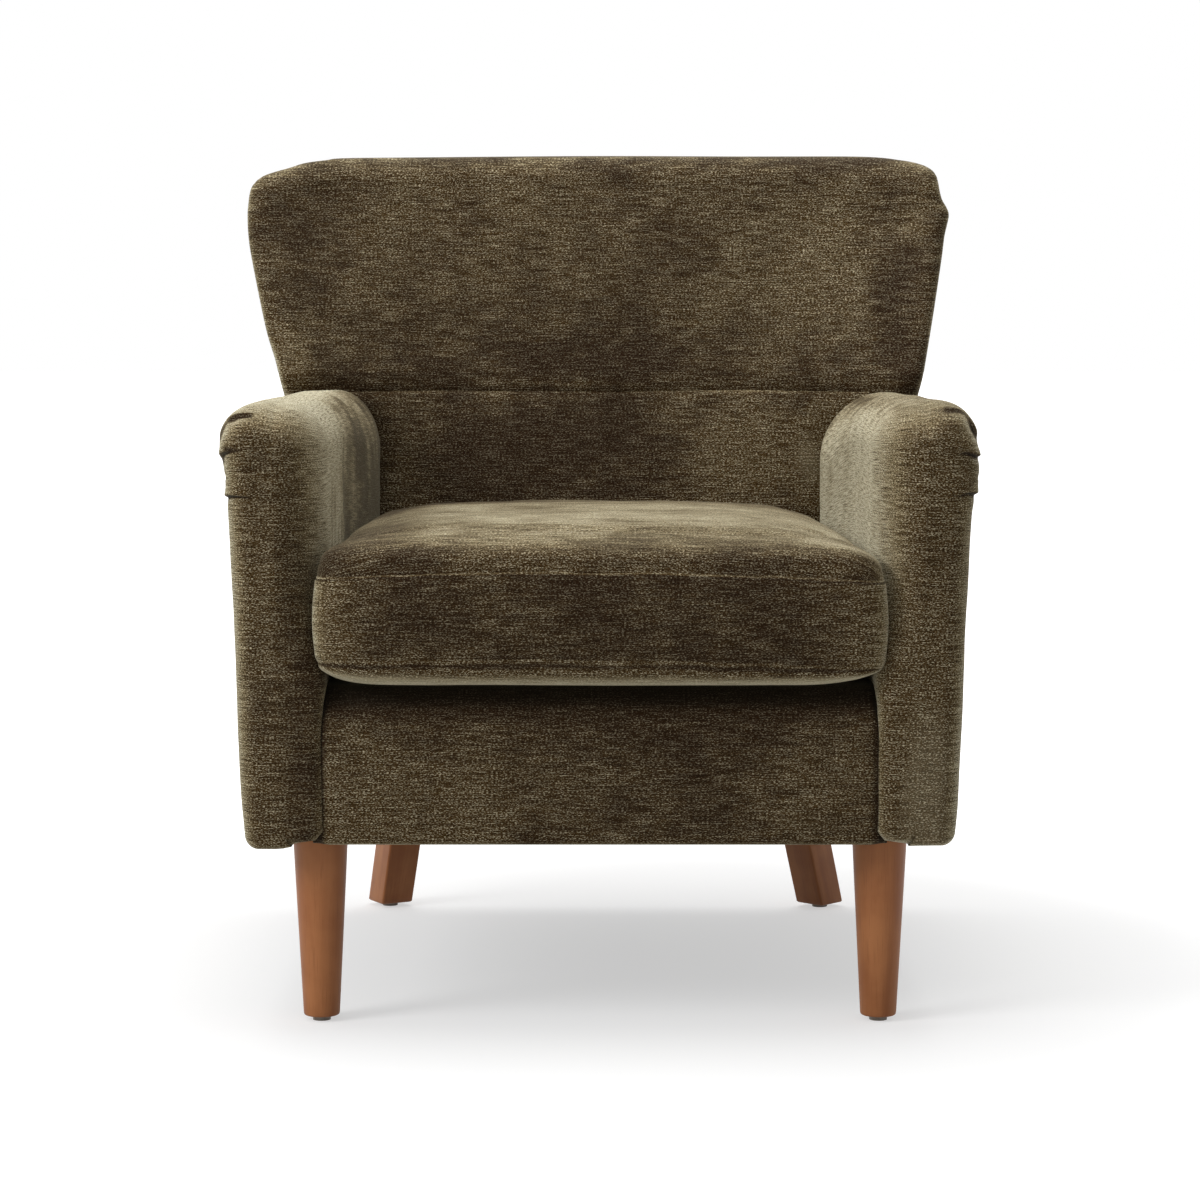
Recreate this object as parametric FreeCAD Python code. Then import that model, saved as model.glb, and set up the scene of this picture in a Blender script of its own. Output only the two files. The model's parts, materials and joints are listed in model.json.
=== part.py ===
"""Upholstered armchair with flared wings, sock arms, a loose box cushion and four wooden legs.

Millimetres. +Z is up, the sitter faces -Y, and left and right are as seen from the front.
The origin is on the floor, under the middle of the overall width and depth.
"""

import FreeCAD, Part
import math
import os
from FreeCAD import Vector

# Overall size
OVERALL_WIDTH = 800.0
OVERALL_DEPTH = 770.0
BACK_TOP_Z = 890.0
ARM_TOP_Z = 621.0
BASE_Z = 185.0

# Cloth, foam and clearances
FABRIC = 1.5
SOFT_GAP = 0.4
TOUCH_GAP = 0.3
ARM_FOAM = 14.0
BACK_FOAM = 45.0

# Arms
WING_OVERHANG = 32.0
CUSHION_OVERHANG = 23.0
ARM_THICK_FRONT = 98.0
ARM_THICK_REAR = 118.0
ARM_REAR_RISE = 5.0
ARM_LEAN_DEG = 3.4
ARM_OUTER_R = 42.0
ARM_INNER_R_FRONT = 48.0
ARM_INNER_R_REAR = 54.0
ARM_FRONT_R = 26.0
ARM_FOOT_R = 14.0
ARM_SWELL_LENGTH = 180.0
ARM_SWELL_BEFORE_BACK = 25.0
OUTSIDE_ARM_DROP = 74.0
OUTSIDE_ARM_DEPTH = 22.0

# Back and wings
BACK_DEPTH = 220.0
LEAN_START_ABOVE_DECK = 142.0
BACK_TOP_THICK = 117.0
OUTSIDE_LEAN_DEG = 4.0
SEAM_ABOVE_ARM = 1.0
BACK_FLAT_SHARE = 0.3
WING_ROOT_INSET = 13.0
WING_START_DROP = 59.0
WING_FULL_RISE = 21.0
WING_FOAM_DROP = 17.0
WING_FORWARD_LOW = 70.0
WING_FORWARD_TOP = 45.0
LUMBAR_FORWARD = 10.0
WING_NOSE_R = 26.0
WING_TAPER = 18.0
BACK_CORNER_R = 24.0
BACK_TOP_R = 30.0
TOP_CORNER_HIGH = 58.0
TOP_CORNER_REACH = 200.0
OUTSIDE_BACK_THICK = 16.0
LUMBAR_SIDE_LAP = 14.0

# Seat deck, front rail panel and loose cushion
DECK_PAD_THICK = 52.0
RAIL_SETBACK = 7.0
RAIL_PANEL_DROP = 2.0
RAIL_PANEL_ROUND = 10.0
CUSHION_NOSE_SWELL = 9.0
CUSHION_ARM_GAP = 1.5
CUSHION_REAR_GAP = 7.0
CUSHION_CORNER_R = 22.0
CUSHION_REAR_R = 18.0
CUSHION_NECK_RUN = 20.0
CUSHION_DRAW = 4.0
CUSHION_CORNER_SOFTEN = 0.35
CUSHION_UNDER_HIGH = 28.0
CUSHION_BOXING = 84.0
CUSHION_CROWN = 56.0
CUSHION_CROWN_REACH = 150.0
CUSHION_UNDER_INSET = 20.0

# Wooden frame
RAIL_LIFT = 3.0
RAIL_HIGH = 104.0
BOARD = 25.0
SIDE_RAIL_INSET = 14.2
STUMP_THICK = 22.0
POST_INSET = 43.0
ARM_RAIL_INSET = 33.0
ARM_RAIL_WIDE = 42.0
ARM_RAIL_DROP = 30.0
ARM_RAIL_THICK = 25.0
BACK_RAIL_HIGH = 45.0
TOP_RAIL_DROP = 97.0
LUMBAR_RAIL_DROP = 30.0
LOWER_RAIL_ABOVE_DECK = 24.0
POST_TOP_DROP = 50.0
WING_BOARD_THICK = 18.0
WING_BOARD_ABOVE_ARM = 29.0
WING_BOARD_DROP = 77.0
WING_BOARD_SETBACK = 38.0
WING_BOARD_OVERLAP = 35.0
BLOCK_HIGH = 40.0
FRONT_BLOCK_LEG = 105.0
REAR_BLOCK_LEG = 150.0

# Springs and webbing
SPRING_COUNT = 4
SPRING_SPACING_SHARE = 0.44
SPRING_WIRE_R = 1.8
SPRING_HALF_WIDTH = 28.0
SPRING_WAVES = 18
CLIP_LONG = 14.0
CLIP_WIDE = 14.0
CLIP_ROOF = 1.6
WEB_COUNT = 4
WEB_SPACING_SHARE = 0.48
WEB_WIDE = 50.0
WEB_THICK = 1.5

# Legs and their fixings
FRONT_LEG_OUT = 9.5
FRONT_LEG_INSET = 65.0
FRONT_LEG_TOP_R = 27.5
FRONT_LEG_FOOT_R = 18.0
LEG_EDGE_R = 2.0
REAR_LEG_IN = 69.0
REAR_LEG_INSET = 13.0
REAR_LEG_TOP_SIDE = 42.0
REAR_LEG_FOOT_SIDE = 40.0
REAR_LEG_RAKE_DEG = 17.5
REAR_LEG_TURN_LEFT_DEG = 29.0
REAR_LEG_TURN_RIGHT_DEG = 43.0
GLIDE_R = 9.0
GLIDE_THICK = 5.0
GLIDE_PIN_R = 1.5
GLIDE_PIN_LONG = 15.0
BOLT_R = 4.0
BOLT_IN_LEG = 38.0
BOLT_ABOVE_BLOCK = 6.0
BOLT_FIT = 0.05
TEE_BARREL_R = 5.2
TEE_FLANGE_R = 10.0
TEE_FLANGE_THICK = 1.6
TEE_BARREL_LONG = 11.0
SCREW_R = 2.0
SCREW_HEAD_R = 4.0
SCREW_HEAD_LONG = 3.0
SCREW_BITE = 18.0
SCREW_SEAT = 14.0
SCREW_SHARE = 0.62
SCREW_FIT = 0.05

# Dust cover and zip
DUST_THICK = 1.0
DUST_HEM = 3.0
LEG_HOLE_GAP = 0.6
ZIP_END_INSET = 45.0
ZIP_TAPE_WIDE = 26.0
ZIP_TAPE_THICK = 1.2
ZIP_CHAIN_WIDE = 6.0
ZIP_CHAIN_THICK = 1.6
SLIDER_LONG = 16.0
SLIDER_WIDE = 11.0
SLIDER_WALL = 1.3
SLIDER_FIT = 0.2


def lean(degrees):
    """Run for each millimetre of rise."""
    return math.tan(math.radians(degrees))


def outside_back_y(z):
    """Face of the outside back, furthest back where its top edge begins to round."""
    return OVERALL_DEPTH / 2 - (BACK_TOP_Z - BACK_TOP_R - z) * lean(OUTSIDE_LEAN_DEG)


# Places across the chair
WING_HALF = OVERALL_WIDTH / 2
ARM_HALF_WIDTH = WING_HALF - WING_OVERHANG
ARM_INNER_X_FRONT = ARM_HALF_WIDTH - ARM_THICK_FRONT
ARM_INNER_X_REAR = ARM_HALF_WIDTH - ARM_THICK_REAR
WING_ROOT_HALF = ARM_HALF_WIDTH - WING_ROOT_INSET
BACK_FLAT_HALF = WING_HALF * BACK_FLAT_SHARE
STUMP_INSET = FABRIC + ARM_FOAM + TOUCH_GAP
STUMP_INNER_X = ARM_INNER_X_FRONT + STUMP_INSET
SIDE_RAIL_X = STUMP_INNER_X + SIDE_RAIL_INSET
ARM_RAIL_X = ARM_INNER_X_FRONT + ARM_RAIL_INSET
POST_X = ARM_INNER_X_REAR + POST_INSET
POST_OUTER_X = POST_X + BOARD
FRONT_LEG_X = ARM_INNER_X_FRONT + FRONT_LEG_OUT
REAR_LEG_X = POST_X - REAR_LEG_IN
CUSHION_FRONT_HALF = ARM_INNER_X_FRONT + CUSHION_NOSE_SWELL
ZIP_HALF = ARM_INNER_X_REAR - ZIP_END_INSET
SPRING_SPACING = ARM_INNER_X_FRONT * SPRING_SPACING_SHARE
WEB_SPACING = ARM_INNER_X_FRONT * WEB_SPACING_SHARE

# Heights
FRAME_BOTTOM_Z = BASE_Z + RAIL_LIFT
RAIL_TOP_Z = FRAME_BOTTOM_Z + RAIL_HIGH
DUST_Z = FRAME_BOTTOM_Z - DUST_THICK
SPRING_Z = RAIL_TOP_Z + SPRING_WIRE_R + TOUCH_GAP
SEAT_DECK_Z = RAIL_TOP_Z + DECK_PAD_THICK
RAIL_PANEL_TOP_Z = SEAT_DECK_Z - RAIL_PANEL_DROP
CUSHION_LOW_Z = SEAT_DECK_Z + TOUCH_GAP
CUSHION_LOW_SEAM_Z = SEAT_DECK_Z + CUSHION_UNDER_HIGH
CUSHION_TOP_SEAM_Z = CUSHION_LOW_SEAM_Z + CUSHION_BOXING
ZIP_Z = (CUSHION_LOW_SEAM_Z + CUSHION_TOP_SEAM_Z) / 2
LEAN_START_Z = SEAT_DECK_Z + LEAN_START_ABOVE_DECK
OUTSIDE_ARM_TOP_Z = ARM_TOP_Z - OUTSIDE_ARM_DROP
ROLL_Z = ARM_TOP_Z - ARM_OUTER_R
BACK_SEAM_Z = ARM_TOP_Z + SEAM_ABOVE_ARM
WING_START_Z = ARM_TOP_Z - WING_START_DROP
WING_FULL_Z = ARM_TOP_Z + WING_FULL_RISE
WING_FOAM_LOW_Z = ARM_TOP_Z - WING_FOAM_DROP
WING_WIDE_Z = BACK_TOP_Z - TOP_CORNER_HIGH
TOP_RAIL_Z = BACK_TOP_Z - TOP_RAIL_DROP
LUMBAR_RAIL_Z = BACK_SEAM_Z - LUMBAR_RAIL_DROP
LOWER_RAIL_Z = SEAT_DECK_Z + LOWER_RAIL_ABOVE_DECK
WING_BOARD_LOW_Z = ARM_TOP_Z + WING_BOARD_ABOVE_ARM
WING_BOARD_HIGH_Z = BACK_TOP_Z - WING_BOARD_DROP

# Places from front to rear
REAR_Y = OVERALL_DEPTH / 2
CUSHION_FRONT_Y = -OVERALL_DEPTH / 2
ARM_FRONT_Y = CUSHION_FRONT_Y + CUSHION_OVERHANG
INSIDE_BACK_Y = REAR_Y - BACK_DEPTH
ARM_SWELL_END_Y = INSIDE_BACK_Y - ARM_SWELL_BEFORE_BACK
ARM_SWELL_START_Y = ARM_SWELL_END_Y - ARM_SWELL_LENGTH
RAIL_FACE_Y = ARM_FRONT_Y + RAIL_SETBACK
STUMP_REAR_Y = ARM_FRONT_Y + ARM_FRONT_R + TOUCH_GAP + STUMP_THICK
FRONT_RAIL_Y = STUMP_REAR_Y - BOARD
FRONT_LEG_Y = ARM_FRONT_Y + FRONT_LEG_INSET
REAR_RAIL_Y = outside_back_y(FRAME_BOTTOM_Z) - OUTSIDE_BACK_THICK - BOARD
REAR_LEG_Y = REAR_RAIL_Y - REAR_LEG_INSET
CUSHION_REAR_Y = INSIDE_BACK_Y - CUSHION_REAR_GAP
INSIDE_SLOPE = (REAR_Y - BACK_TOP_THICK - INSIDE_BACK_Y) / (BACK_TOP_Z - LEAN_START_Z)

FAR = 2000.0
FRONT_ROUND_DEG = (0, 22.5, 45, 67.5, 90)
CROWN_STEPS = ((0.3, 0.05), (0.5, 0.13), (0.66, 0.24), (0.81, 0.41), (0.93, 0.7), (1.0, 1.0))
TOP_CORNER_STEPS = ((0.0, 0.0), (0.5, 0.05), (0.72, 0.15), (0.86, 0.3), (0.93, 0.525), (1.0, 1.0))


def box(x0, x1, y0, y1, z0, z1):
    return Part.makeBox(x1 - x0, y1 - y0, z1 - z0, Vector(x0, y0, z0))


def rod(radius, start, direction, length):
    return Part.makeCylinder(radius, length, start, direction)


def line(a, b):
    return Part.LineSegment(a, b).toShape()


def arc(a, middle, b):
    return Part.Arc(a, middle, b).toShape()


def loft(wires):
    return Part.makeLoft(wires, True, True)


def prism(points, direction):
    """Solid from a flat polygon pushed along a direction."""
    ring = Part.makePolygon(points + points[:1])
    return Part.Face(ring).extrude(direction)


def mirrored(shape):
    return shape.mirror(Vector(0, 0, 0), Vector(1, 0, 0))


def both_sides(shape):
    return [mirrored(shape), shape]


def side_profile(points, x0, x1):
    """Solid from a (y, z) outline between two places across the chair."""
    return prism([Vector(x0, y, z) for y, z in points], Vector(x1 - x0, 0, 0))


def smooth_share(value, start, end):
    share = min(1.0, max(0.0, (value - start) / (end - start)))
    return share * share * (3 - 2 * share)


# Arm form

def arm_outline(y, swell, inset, base_z):
    """Closed cross-section of the right arm: straight inside, round top, leaning outside."""
    top = ARM_TOP_Z + ARM_REAR_RISE * swell
    inner_r = ARM_INNER_R_FRONT + (ARM_INNER_R_REAR - ARM_INNER_R_FRONT) * swell
    inner_x = ARM_INNER_X_FRONT + (ARM_INNER_X_REAR - ARM_INNER_X_FRONT) * swell
    angle = math.radians(ARM_LEAN_DEG)
    inner_c = (inner_x + inner_r, top - inner_r)
    outer_c = (ARM_HALF_WIDTH - ARM_OUTER_R, top - ARM_OUTER_R)
    r_in, r_out = inner_r - inset, ARM_OUTER_R - inset
    foot_r = ARM_FOOT_R - min(inset, ARM_FOOT_R / 2)

    def at(x, z):
        return Vector(x, y, z)

    def on(centre, radius, degrees):
        turn = math.radians(degrees)
        return at(centre[0] + radius * math.cos(turn), centre[1] + radius * math.sin(turn))

    outer_tangent = on(outer_c, r_out, -ARM_LEAN_DEG)

    def outer_x(z):
        return outer_tangent.x + (z - outer_tangent.z) * math.tan(angle)

    foot_c = (outer_x(base_z + foot_r) - foot_r / math.cos(angle), base_z + foot_r)
    corner = at(inner_x + inset, base_z)
    inner_low = on(inner_c, r_in, 180)
    top_in, top_out = on(inner_c, r_in, 90), on(outer_c, r_out, 90)
    foot_side, foot_low = on(foot_c, foot_r, -ARM_LEAN_DEG), on(foot_c, foot_r, -90)
    return Part.Wire([
        line(corner, inner_low),
        arc(inner_low, on(inner_c, r_in, (90 + 180) / 2), top_in),
        line(top_in, top_out),
        arc(top_out, on(outer_c, r_out, 45), outer_tangent),
        line(outer_tangent, foot_side),
        arc(foot_side, on(foot_c, foot_r, -45), foot_low),
        line(foot_low, corner),
    ])


def arm_form(inset, base_z=BASE_Z):
    """Right arm from its rounded front to past the back, drawn in all round by inset."""
    sections = []
    radius = ARM_FRONT_R - inset
    for degrees in FRONT_ROUND_DEG:
        turn = math.radians(degrees)
        y = ARM_FRONT_Y + inset + radius * (1 - math.cos(turn))
        sections.append(arm_outline(y, 0.0, inset + radius * (1 - math.sin(turn)), base_z))
    swell_steps = 4
    for step in range(swell_steps + 1):
        y = ARM_SWELL_START_Y + (ARM_SWELL_END_Y - ARM_SWELL_START_Y) * step / swell_steps
        swell = smooth_share(y, ARM_SWELL_START_Y, ARM_SWELL_END_Y)
        sections.append(arm_outline(y, swell, inset, base_z))
    sections.append(arm_outline(REAR_Y + inset, 1.0, inset, base_z))
    return loft(sections)


# Back form

def inside_back_y(z):
    return INSIDE_BACK_Y + max(0.0, z - LEAN_START_Z) * INSIDE_SLOPE


def between(value, low, high):
    """Straight run from one (place, size) pair to another, held level past both."""
    share = min(1.0, max(0.0, (value - low[0]) / (high[0] - low[0])))
    return low[1] + (high[1] - low[1]) * share


def nose_half_width(z):
    """Half width over the wing noses, below the rounded top corners."""
    return between(z, (ARM_TOP_Z, WING_ROOT_HALF), (WING_WIDE_Z, WING_HALF))


def rear_half_width(z):
    """Half width at the outside back: it covers the arm ends, then follows the wings."""
    if z <= ROLL_Z:
        base_half = ARM_HALF_WIDTH - (ROLL_Z - BASE_Z) * lean(ARM_LEAN_DEG)
        return between(z, (BASE_Z, base_half), (ROLL_Z, ARM_HALF_WIDTH))
    return between(z, (ROLL_Z, ARM_HALF_WIDTH), (WING_WIDE_Z, WING_HALF - WING_TAPER))


def wing_forward(z):
    """How far the wing's nose stands in front of the middle of the back."""
    if z <= WING_FULL_Z:
        rise = smooth_share(z, WING_START_Z, WING_FULL_Z)
        return LUMBAR_FORWARD + (WING_FORWARD_LOW - LUMBAR_FORWARD) * rise
    share = (z - WING_FULL_Z) / (BACK_TOP_Z - WING_FULL_Z)
    return WING_FORWARD_LOW + (WING_FORWARD_TOP - WING_FORWARD_LOW) * share


def back_outline(z, trim, squeeze, inset):
    """Closed plan of the back: hollow inside face, round wing noses, flat outside.

    trim narrows it at the rounded top corners and squeeze thins it at the rounded top edge.
    """
    inside_y = inside_back_y(z) + squeeze
    outside_y = outside_back_y(z) - squeeze
    full_reach = nose_half_width(z) - WING_NOSE_R - BACK_FLAT_HALF
    full_forward = wing_forward(z)
    hollow_r = (full_reach ** 2 + full_forward ** 2) / (2 * full_forward) - WING_NOSE_R
    nose_run = hollow_r + WING_NOSE_R
    forward = nose_run - math.sqrt(nose_run ** 2 - (full_reach - trim) ** 2)
    hollow_c = Vector(BACK_FLAT_HALF, inside_y - hollow_r, z)
    nose_c = Vector(BACK_FLAT_HALF + full_reach - trim, inside_y - forward + WING_NOSE_R, z)
    corner_x = rear_half_width(z) - trim - BACK_CORNER_R
    corner_c = Vector(corner_x, outside_y - BACK_CORNER_R, z)
    nose_r, corner_r = WING_NOSE_R - inset, BACK_CORNER_R - inset

    run = corner_c - nose_c
    along = (WING_NOSE_R - BACK_CORNER_R) / run.Length
    ahead = Vector(run).normalize()
    side = Vector(ahead.y, -ahead.x, 0)
    outward = ahead * along + side * math.sqrt(1 - along ** 2)
    side_angle = math.atan2(outward.y, outward.x)
    to_nose = nose_c - hollow_c
    hollow_end = math.atan2(to_nose.y, to_nose.x)

    def on(centre, radius, turn):
        return centre + Vector(radius * math.cos(turn), radius * math.sin(turn), 0)

    hollow_start = on(hollow_c, hollow_r + inset, math.pi / 2)
    meet = on(hollow_c, hollow_r + inset, hollow_end)
    nose_side = on(nose_c, nose_r, side_angle)
    corner_side = on(corner_c, corner_r, side_angle)
    corner_rear = on(corner_c, corner_r, math.pi / 2)
    right = [
        arc(hollow_start, on(hollow_c, hollow_r + inset, (math.pi / 2 + hollow_end) / 2), meet),
        arc(meet, on(nose_c, nose_r, (hollow_end - math.pi + side_angle) / 2), nose_side),
        line(nose_side, corner_side),
        arc(corner_side, on(corner_c, corner_r, (side_angle + math.pi / 2) / 2), corner_rear),
    ]
    left = [mirrored(edge) for edge in reversed(right)]

    def flip(point):
        return Vector(-point.x, point.y, point.z)

    inside = line(flip(hollow_start), hollow_start)
    outside = line(corner_rear, flip(corner_rear))
    return Part.Wire([inside] + right + [outside] + left)


def back_form(inset, base_z=BASE_Z):
    """Whole back with its wings, drawn in all round by inset."""
    middle_z = (ROLL_Z + WING_FULL_Z) / 2
    sections = []
    for z in (base_z, LEAN_START_Z, WING_START_Z, ROLL_Z, middle_z, WING_FULL_Z):
        sections.append(back_outline(z, 0.0, 0.0, inset))
    for share, trim_share in TOP_CORNER_STEPS:
        z = WING_WIDE_Z + (BACK_TOP_Z - WING_WIDE_Z - inset) * share
        above = max(0.0, z + inset - (BACK_TOP_Z - BACK_TOP_R))
        squeeze = BACK_TOP_R - math.sqrt(max(0.0, BACK_TOP_R ** 2 - above ** 2))
        sections.append(back_outline(z, trim_share * TOP_CORNER_REACH, squeeze, inset))
    return loft(sections)


def behind_back_split(z_low, shift=0.0):
    """Everything behind the plane where the outside back panel begins."""
    def split_y(z):
        return outside_back_y(z) - OUTSIDE_BACK_THICK + shift
    top = BACK_TOP_Z + BASE_Z
    outline = [(split_y(z_low), z_low), (FAR, z_low), (FAR, top), (split_y(top), top)]
    return side_profile(outline, -FAR, FAR)


def frame_front_y(z):
    """Front of the back frame, behind the foam."""
    return inside_back_y(z) + FABRIC + BACK_FOAM


def back_frame_space(grow=0.0):
    """Room behind the back foam that holds the posts, rails and webbing."""
    top = BACK_TOP_Z - POST_TOP_DROP + grow
    low = FRAME_BOTTOM_Z - FAR / 10
    outline = [
        (frame_front_y(low) - grow, low),
        (FAR, low),
        (FAR, top),
        (frame_front_y(top) - grow, top),
        (frame_front_y(LEAN_START_Z) - grow, LEAN_START_Z),
    ]
    return side_profile(outline, -POST_OUTER_X - grow, POST_OUTER_X + grow)


def under_deck_space():
    """Room below the seat deck, between the arms, where the inside arm covers stop."""
    edge = STUMP_INNER_X
    return box(-edge, edge, FRONT_RAIL_Y - TOUCH_GAP, FAR, 0, RAIL_TOP_Z)


# Wooden frame

def seat_rails():
    front = box(-STUMP_INNER_X, STUMP_INNER_X, FRONT_RAIL_Y, STUMP_REAR_Y, FRAME_BOTTOM_Z, RAIL_TOP_Z)
    rear_end = POST_X
    rear = box(-rear_end, rear_end, REAR_RAIL_Y, REAR_RAIL_Y + BOARD, FRAME_BOTTOM_Z, RAIL_TOP_Z)
    post_front = frame_front_y(FRAME_BOTTOM_Z)
    side = box(SIDE_RAIL_X, SIDE_RAIL_X + BOARD, STUMP_REAR_Y, post_front, FRAME_BOTTOM_Z, RAIL_TOP_Z)
    return front, rear, side


def arm_stump():
    front_y = STUMP_REAR_Y - STUMP_THICK
    outline = arm_outline(front_y, 0.0, STUMP_INSET, FRAME_BOTTOM_Z)
    return Part.Face(outline).extrude(Vector(0, STUMP_THICK, 0))


def arm_rail():
    top = ARM_TOP_Z - ARM_RAIL_DROP
    post_front = frame_front_y(top - ARM_RAIL_THICK)
    rail = box(ARM_RAIL_X, ARM_RAIL_X + ARM_RAIL_WIDE, STUMP_REAR_Y, FAR, top - ARM_RAIL_THICK, top)
    behind = back_frame_space()
    beside = box(POST_OUTER_X, FAR, post_front, FAR, 0, FAR)
    return rail.cut([behind, beside])


def back_post():
    """Raked side board of the back, from the seat rail to under the top roll."""
    top = BACK_TOP_Z - POST_TOP_DROP
    slab = box(POST_X, POST_OUTER_X, -FAR, FAR, FRAME_BOTTOM_Z, top)
    return slab.common(back_frame_space()).cut(behind_back_split(0))


def back_rail(z_low):
    """Cross rail let in between the posts, set back by the webbing's thickness."""
    z_high = z_low + BACK_RAIL_HIGH
    front_low, front_high = (frame_front_y(z) + WEB_THICK for z in (z_low, z_high))
    outline = [
        (front_low, z_low),
        (front_low + BOARD, z_low),
        (front_high + BOARD, z_high),
        (front_high, z_high),
    ]
    return side_profile(outline, -POST_X, POST_X)


def wing_board(grow=0.0):
    """Stiff board inside the wing, fixed to the outer face of the post."""
    low, high = WING_BOARD_LOW_Z - grow, WING_BOARD_HIGH_Z + grow
    front = WING_BOARD_SETBACK + grow
    rear = BACK_FOAM + WING_BOARD_OVERLAP
    outline = [
        (inside_back_y(low) - front, low),
        (inside_back_y(low) + rear, low),
        (inside_back_y(high) + rear, high),
        (inside_back_y(high) - front / 2, high),
    ]
    return side_profile(outline, POST_OUTER_X, POST_OUTER_X + WING_BOARD_THICK + grow)


def corner_block(corner_x, corner_y, leg, toward_rear, bolt_x, bolt_y):
    """Triangular block in a right-hand corner, bored for the leg bolt and two screws.

    toward_rear is 1 where the block runs back from a front rail and -1 at the rear rail.
    Returns the block, its screws and the matching holes for the rails.
    """
    x, y, low = corner_x, corner_y, FRAME_BOTTOM_Z
    outline = [Vector(x, y, low), Vector(x - leg, y, low), Vector(x, y + toward_rear * leg, low)]
    block = prism(outline, Vector(0, 0, BLOCK_HIGH))
    bore = rod(TEE_BARREL_R + BOLT_FIT, Vector(bolt_x, bolt_y, low), Vector(0, 0, 1), BLOCK_HIGH)
    middle_z = low + BLOCK_HIGH / 2
    offset = SCREW_SHARE * leg
    into_side = (Vector(x, y + toward_rear * offset, middle_z), Vector(1, 0, 0))
    into_end = (Vector(x - offset, y, middle_z), Vector(0, -toward_rear, 0))
    screws, holes = [], []
    for face, ahead in (into_side, into_end):
        seat = face - ahead * SCREW_SEAT
        shank_long = SCREW_SEAT + SCREW_BITE
        shank = rod(SCREW_R, seat, ahead, shank_long)
        head = rod(SCREW_HEAD_R, seat - ahead * SCREW_HEAD_LONG, ahead, SCREW_HEAD_LONG)
        screws.append(shank.fuse(head).removeSplitter())
        hole = rod(SCREW_R + SCREW_FIT, seat, ahead, shank_long + SCREW_FIT)
        sink = rod(SCREW_HEAD_R + SCREW_FIT, seat - ahead * leg, ahead, leg)
        holes.append(hole.fuse(sink))
    return block.cut([bore] + holes), screws, holes


# Springs and webbing

def seat_spring(x):
    """Flat zigzag wire from the front rail to the rear rail."""
    start = FRONT_RAIL_Y + BOARD / 2
    end = REAR_RAIL_Y + BOARD / 2
    pitch = (end - start) / SPRING_WAVES
    turn_r = pitch / 2
    reach = SPRING_HALF_WIDTH - turn_r
    edges = []
    for wave in range(SPRING_WAVES + 1):
        y = start + wave * pitch
        heading = 1 if wave % 2 == 0 else -1
        left_end = Vector(x - heading * reach, y, SPRING_Z)
        right_end = Vector(x + heading * reach, y, SPRING_Z)
        edges.append(line(left_end, right_end))
        if wave < SPRING_WAVES:
            next_end = Vector(right_end.x, y + pitch, SPRING_Z)
            apex = Vector(x + heading * SPRING_HALF_WIDTH, y + turn_r, SPRING_Z)
            edges.append(arc(right_end, apex, next_end))
    path = Part.Wire(edges)
    first = Vector(x - reach, start, SPRING_Z)
    ring = Part.Wire(Part.Circle(first, Vector(1, 0, 0), SPRING_WIRE_R).toShape())
    return path.makePipeShell([ring], True, False)


def spring_clip(x, y):
    """Steel clip on a rail's top edge, with the spring's end bar through it."""
    high = SPRING_Z + SPRING_WIRE_R + CLIP_ROOF
    start, near = x - CLIP_LONG / 2, y - CLIP_WIDE / 2
    body = box(start, start + CLIP_LONG, near, near + CLIP_WIDE, RAIL_TOP_Z, high)
    return body.cut(rod(SPRING_WIRE_R + BOLT_FIT, Vector(start, y, SPRING_Z), Vector(1, 0, 0), CLIP_LONG))


def even_places(count, spacing):
    return [(index - (count - 1) / 2) * spacing for index in range(count)]


def back_strap(x):
    """Elastic strap down the front of the back rails."""
    low, high = LOWER_RAIL_Z, TOP_RAIL_Z + BACK_RAIL_HIGH
    levels = [low, LEAN_START_Z, high]
    front = [(frame_front_y(z), z) for z in levels]
    rear = [(y + WEB_THICK, z) for y, z in reversed(front)]
    return side_profile(front + rear, x - WEB_WIDE / 2, x + WEB_WIDE / 2)


# Foam and covers

def right_arm_pieces():
    """Foam, main cover and outside cover of the right arm."""
    past_base = BASE_Z - FAR / 10
    under_leg = Vector(FRONT_LEG_X, FRONT_LEG_Y, 0)
    leg_hole = rod(FRONT_LEG_TOP_R + LEG_HOLE_GAP, under_leg, Vector(0, 0, 1), FRAME_BOTTOM_Z)
    rear = behind_back_split(0, -SOFT_GAP)
    inside_back = back_frame_space(SOFT_GAP)
    cutters = [rear, inside_back, under_deck_space(), leg_hole]
    foam = arm_form(FABRIC + TOUCH_GAP, BASE_Z + FABRIC + TOUCH_GAP)
    foam = foam.cut([arm_form(FABRIC + ARM_FOAM, past_base)] + cutters)
    skin = arm_form(0.0).cut([arm_form(FABRIC, BASE_Z + FABRIC)] + cutters)
    side = outside_arm_region()
    return foam, skin.cut(side), skin.common(side)


def outside_arm_region():
    """Where the separate outside panel of the right arm lies: below the roll, behind the front."""
    angle = lean(ARM_LEAN_DEG)
    reach_high = OUTSIDE_ARM_TOP_Z - BASE_Z
    low_x = ARM_HALF_WIDTH - ARM_OUTER_R - OUTSIDE_ARM_DEPTH
    start_y = ARM_FRONT_Y + ARM_FRONT_R
    outline = [
        Vector(low_x, start_y, 0),
        Vector(FAR, start_y, 0),
        Vector(FAR, start_y, OUTSIDE_ARM_TOP_Z),
        Vector(low_x + reach_high * angle, start_y, OUTSIDE_ARM_TOP_Z),
    ]
    return prism(outline, Vector(0, FAR, 0))


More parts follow.
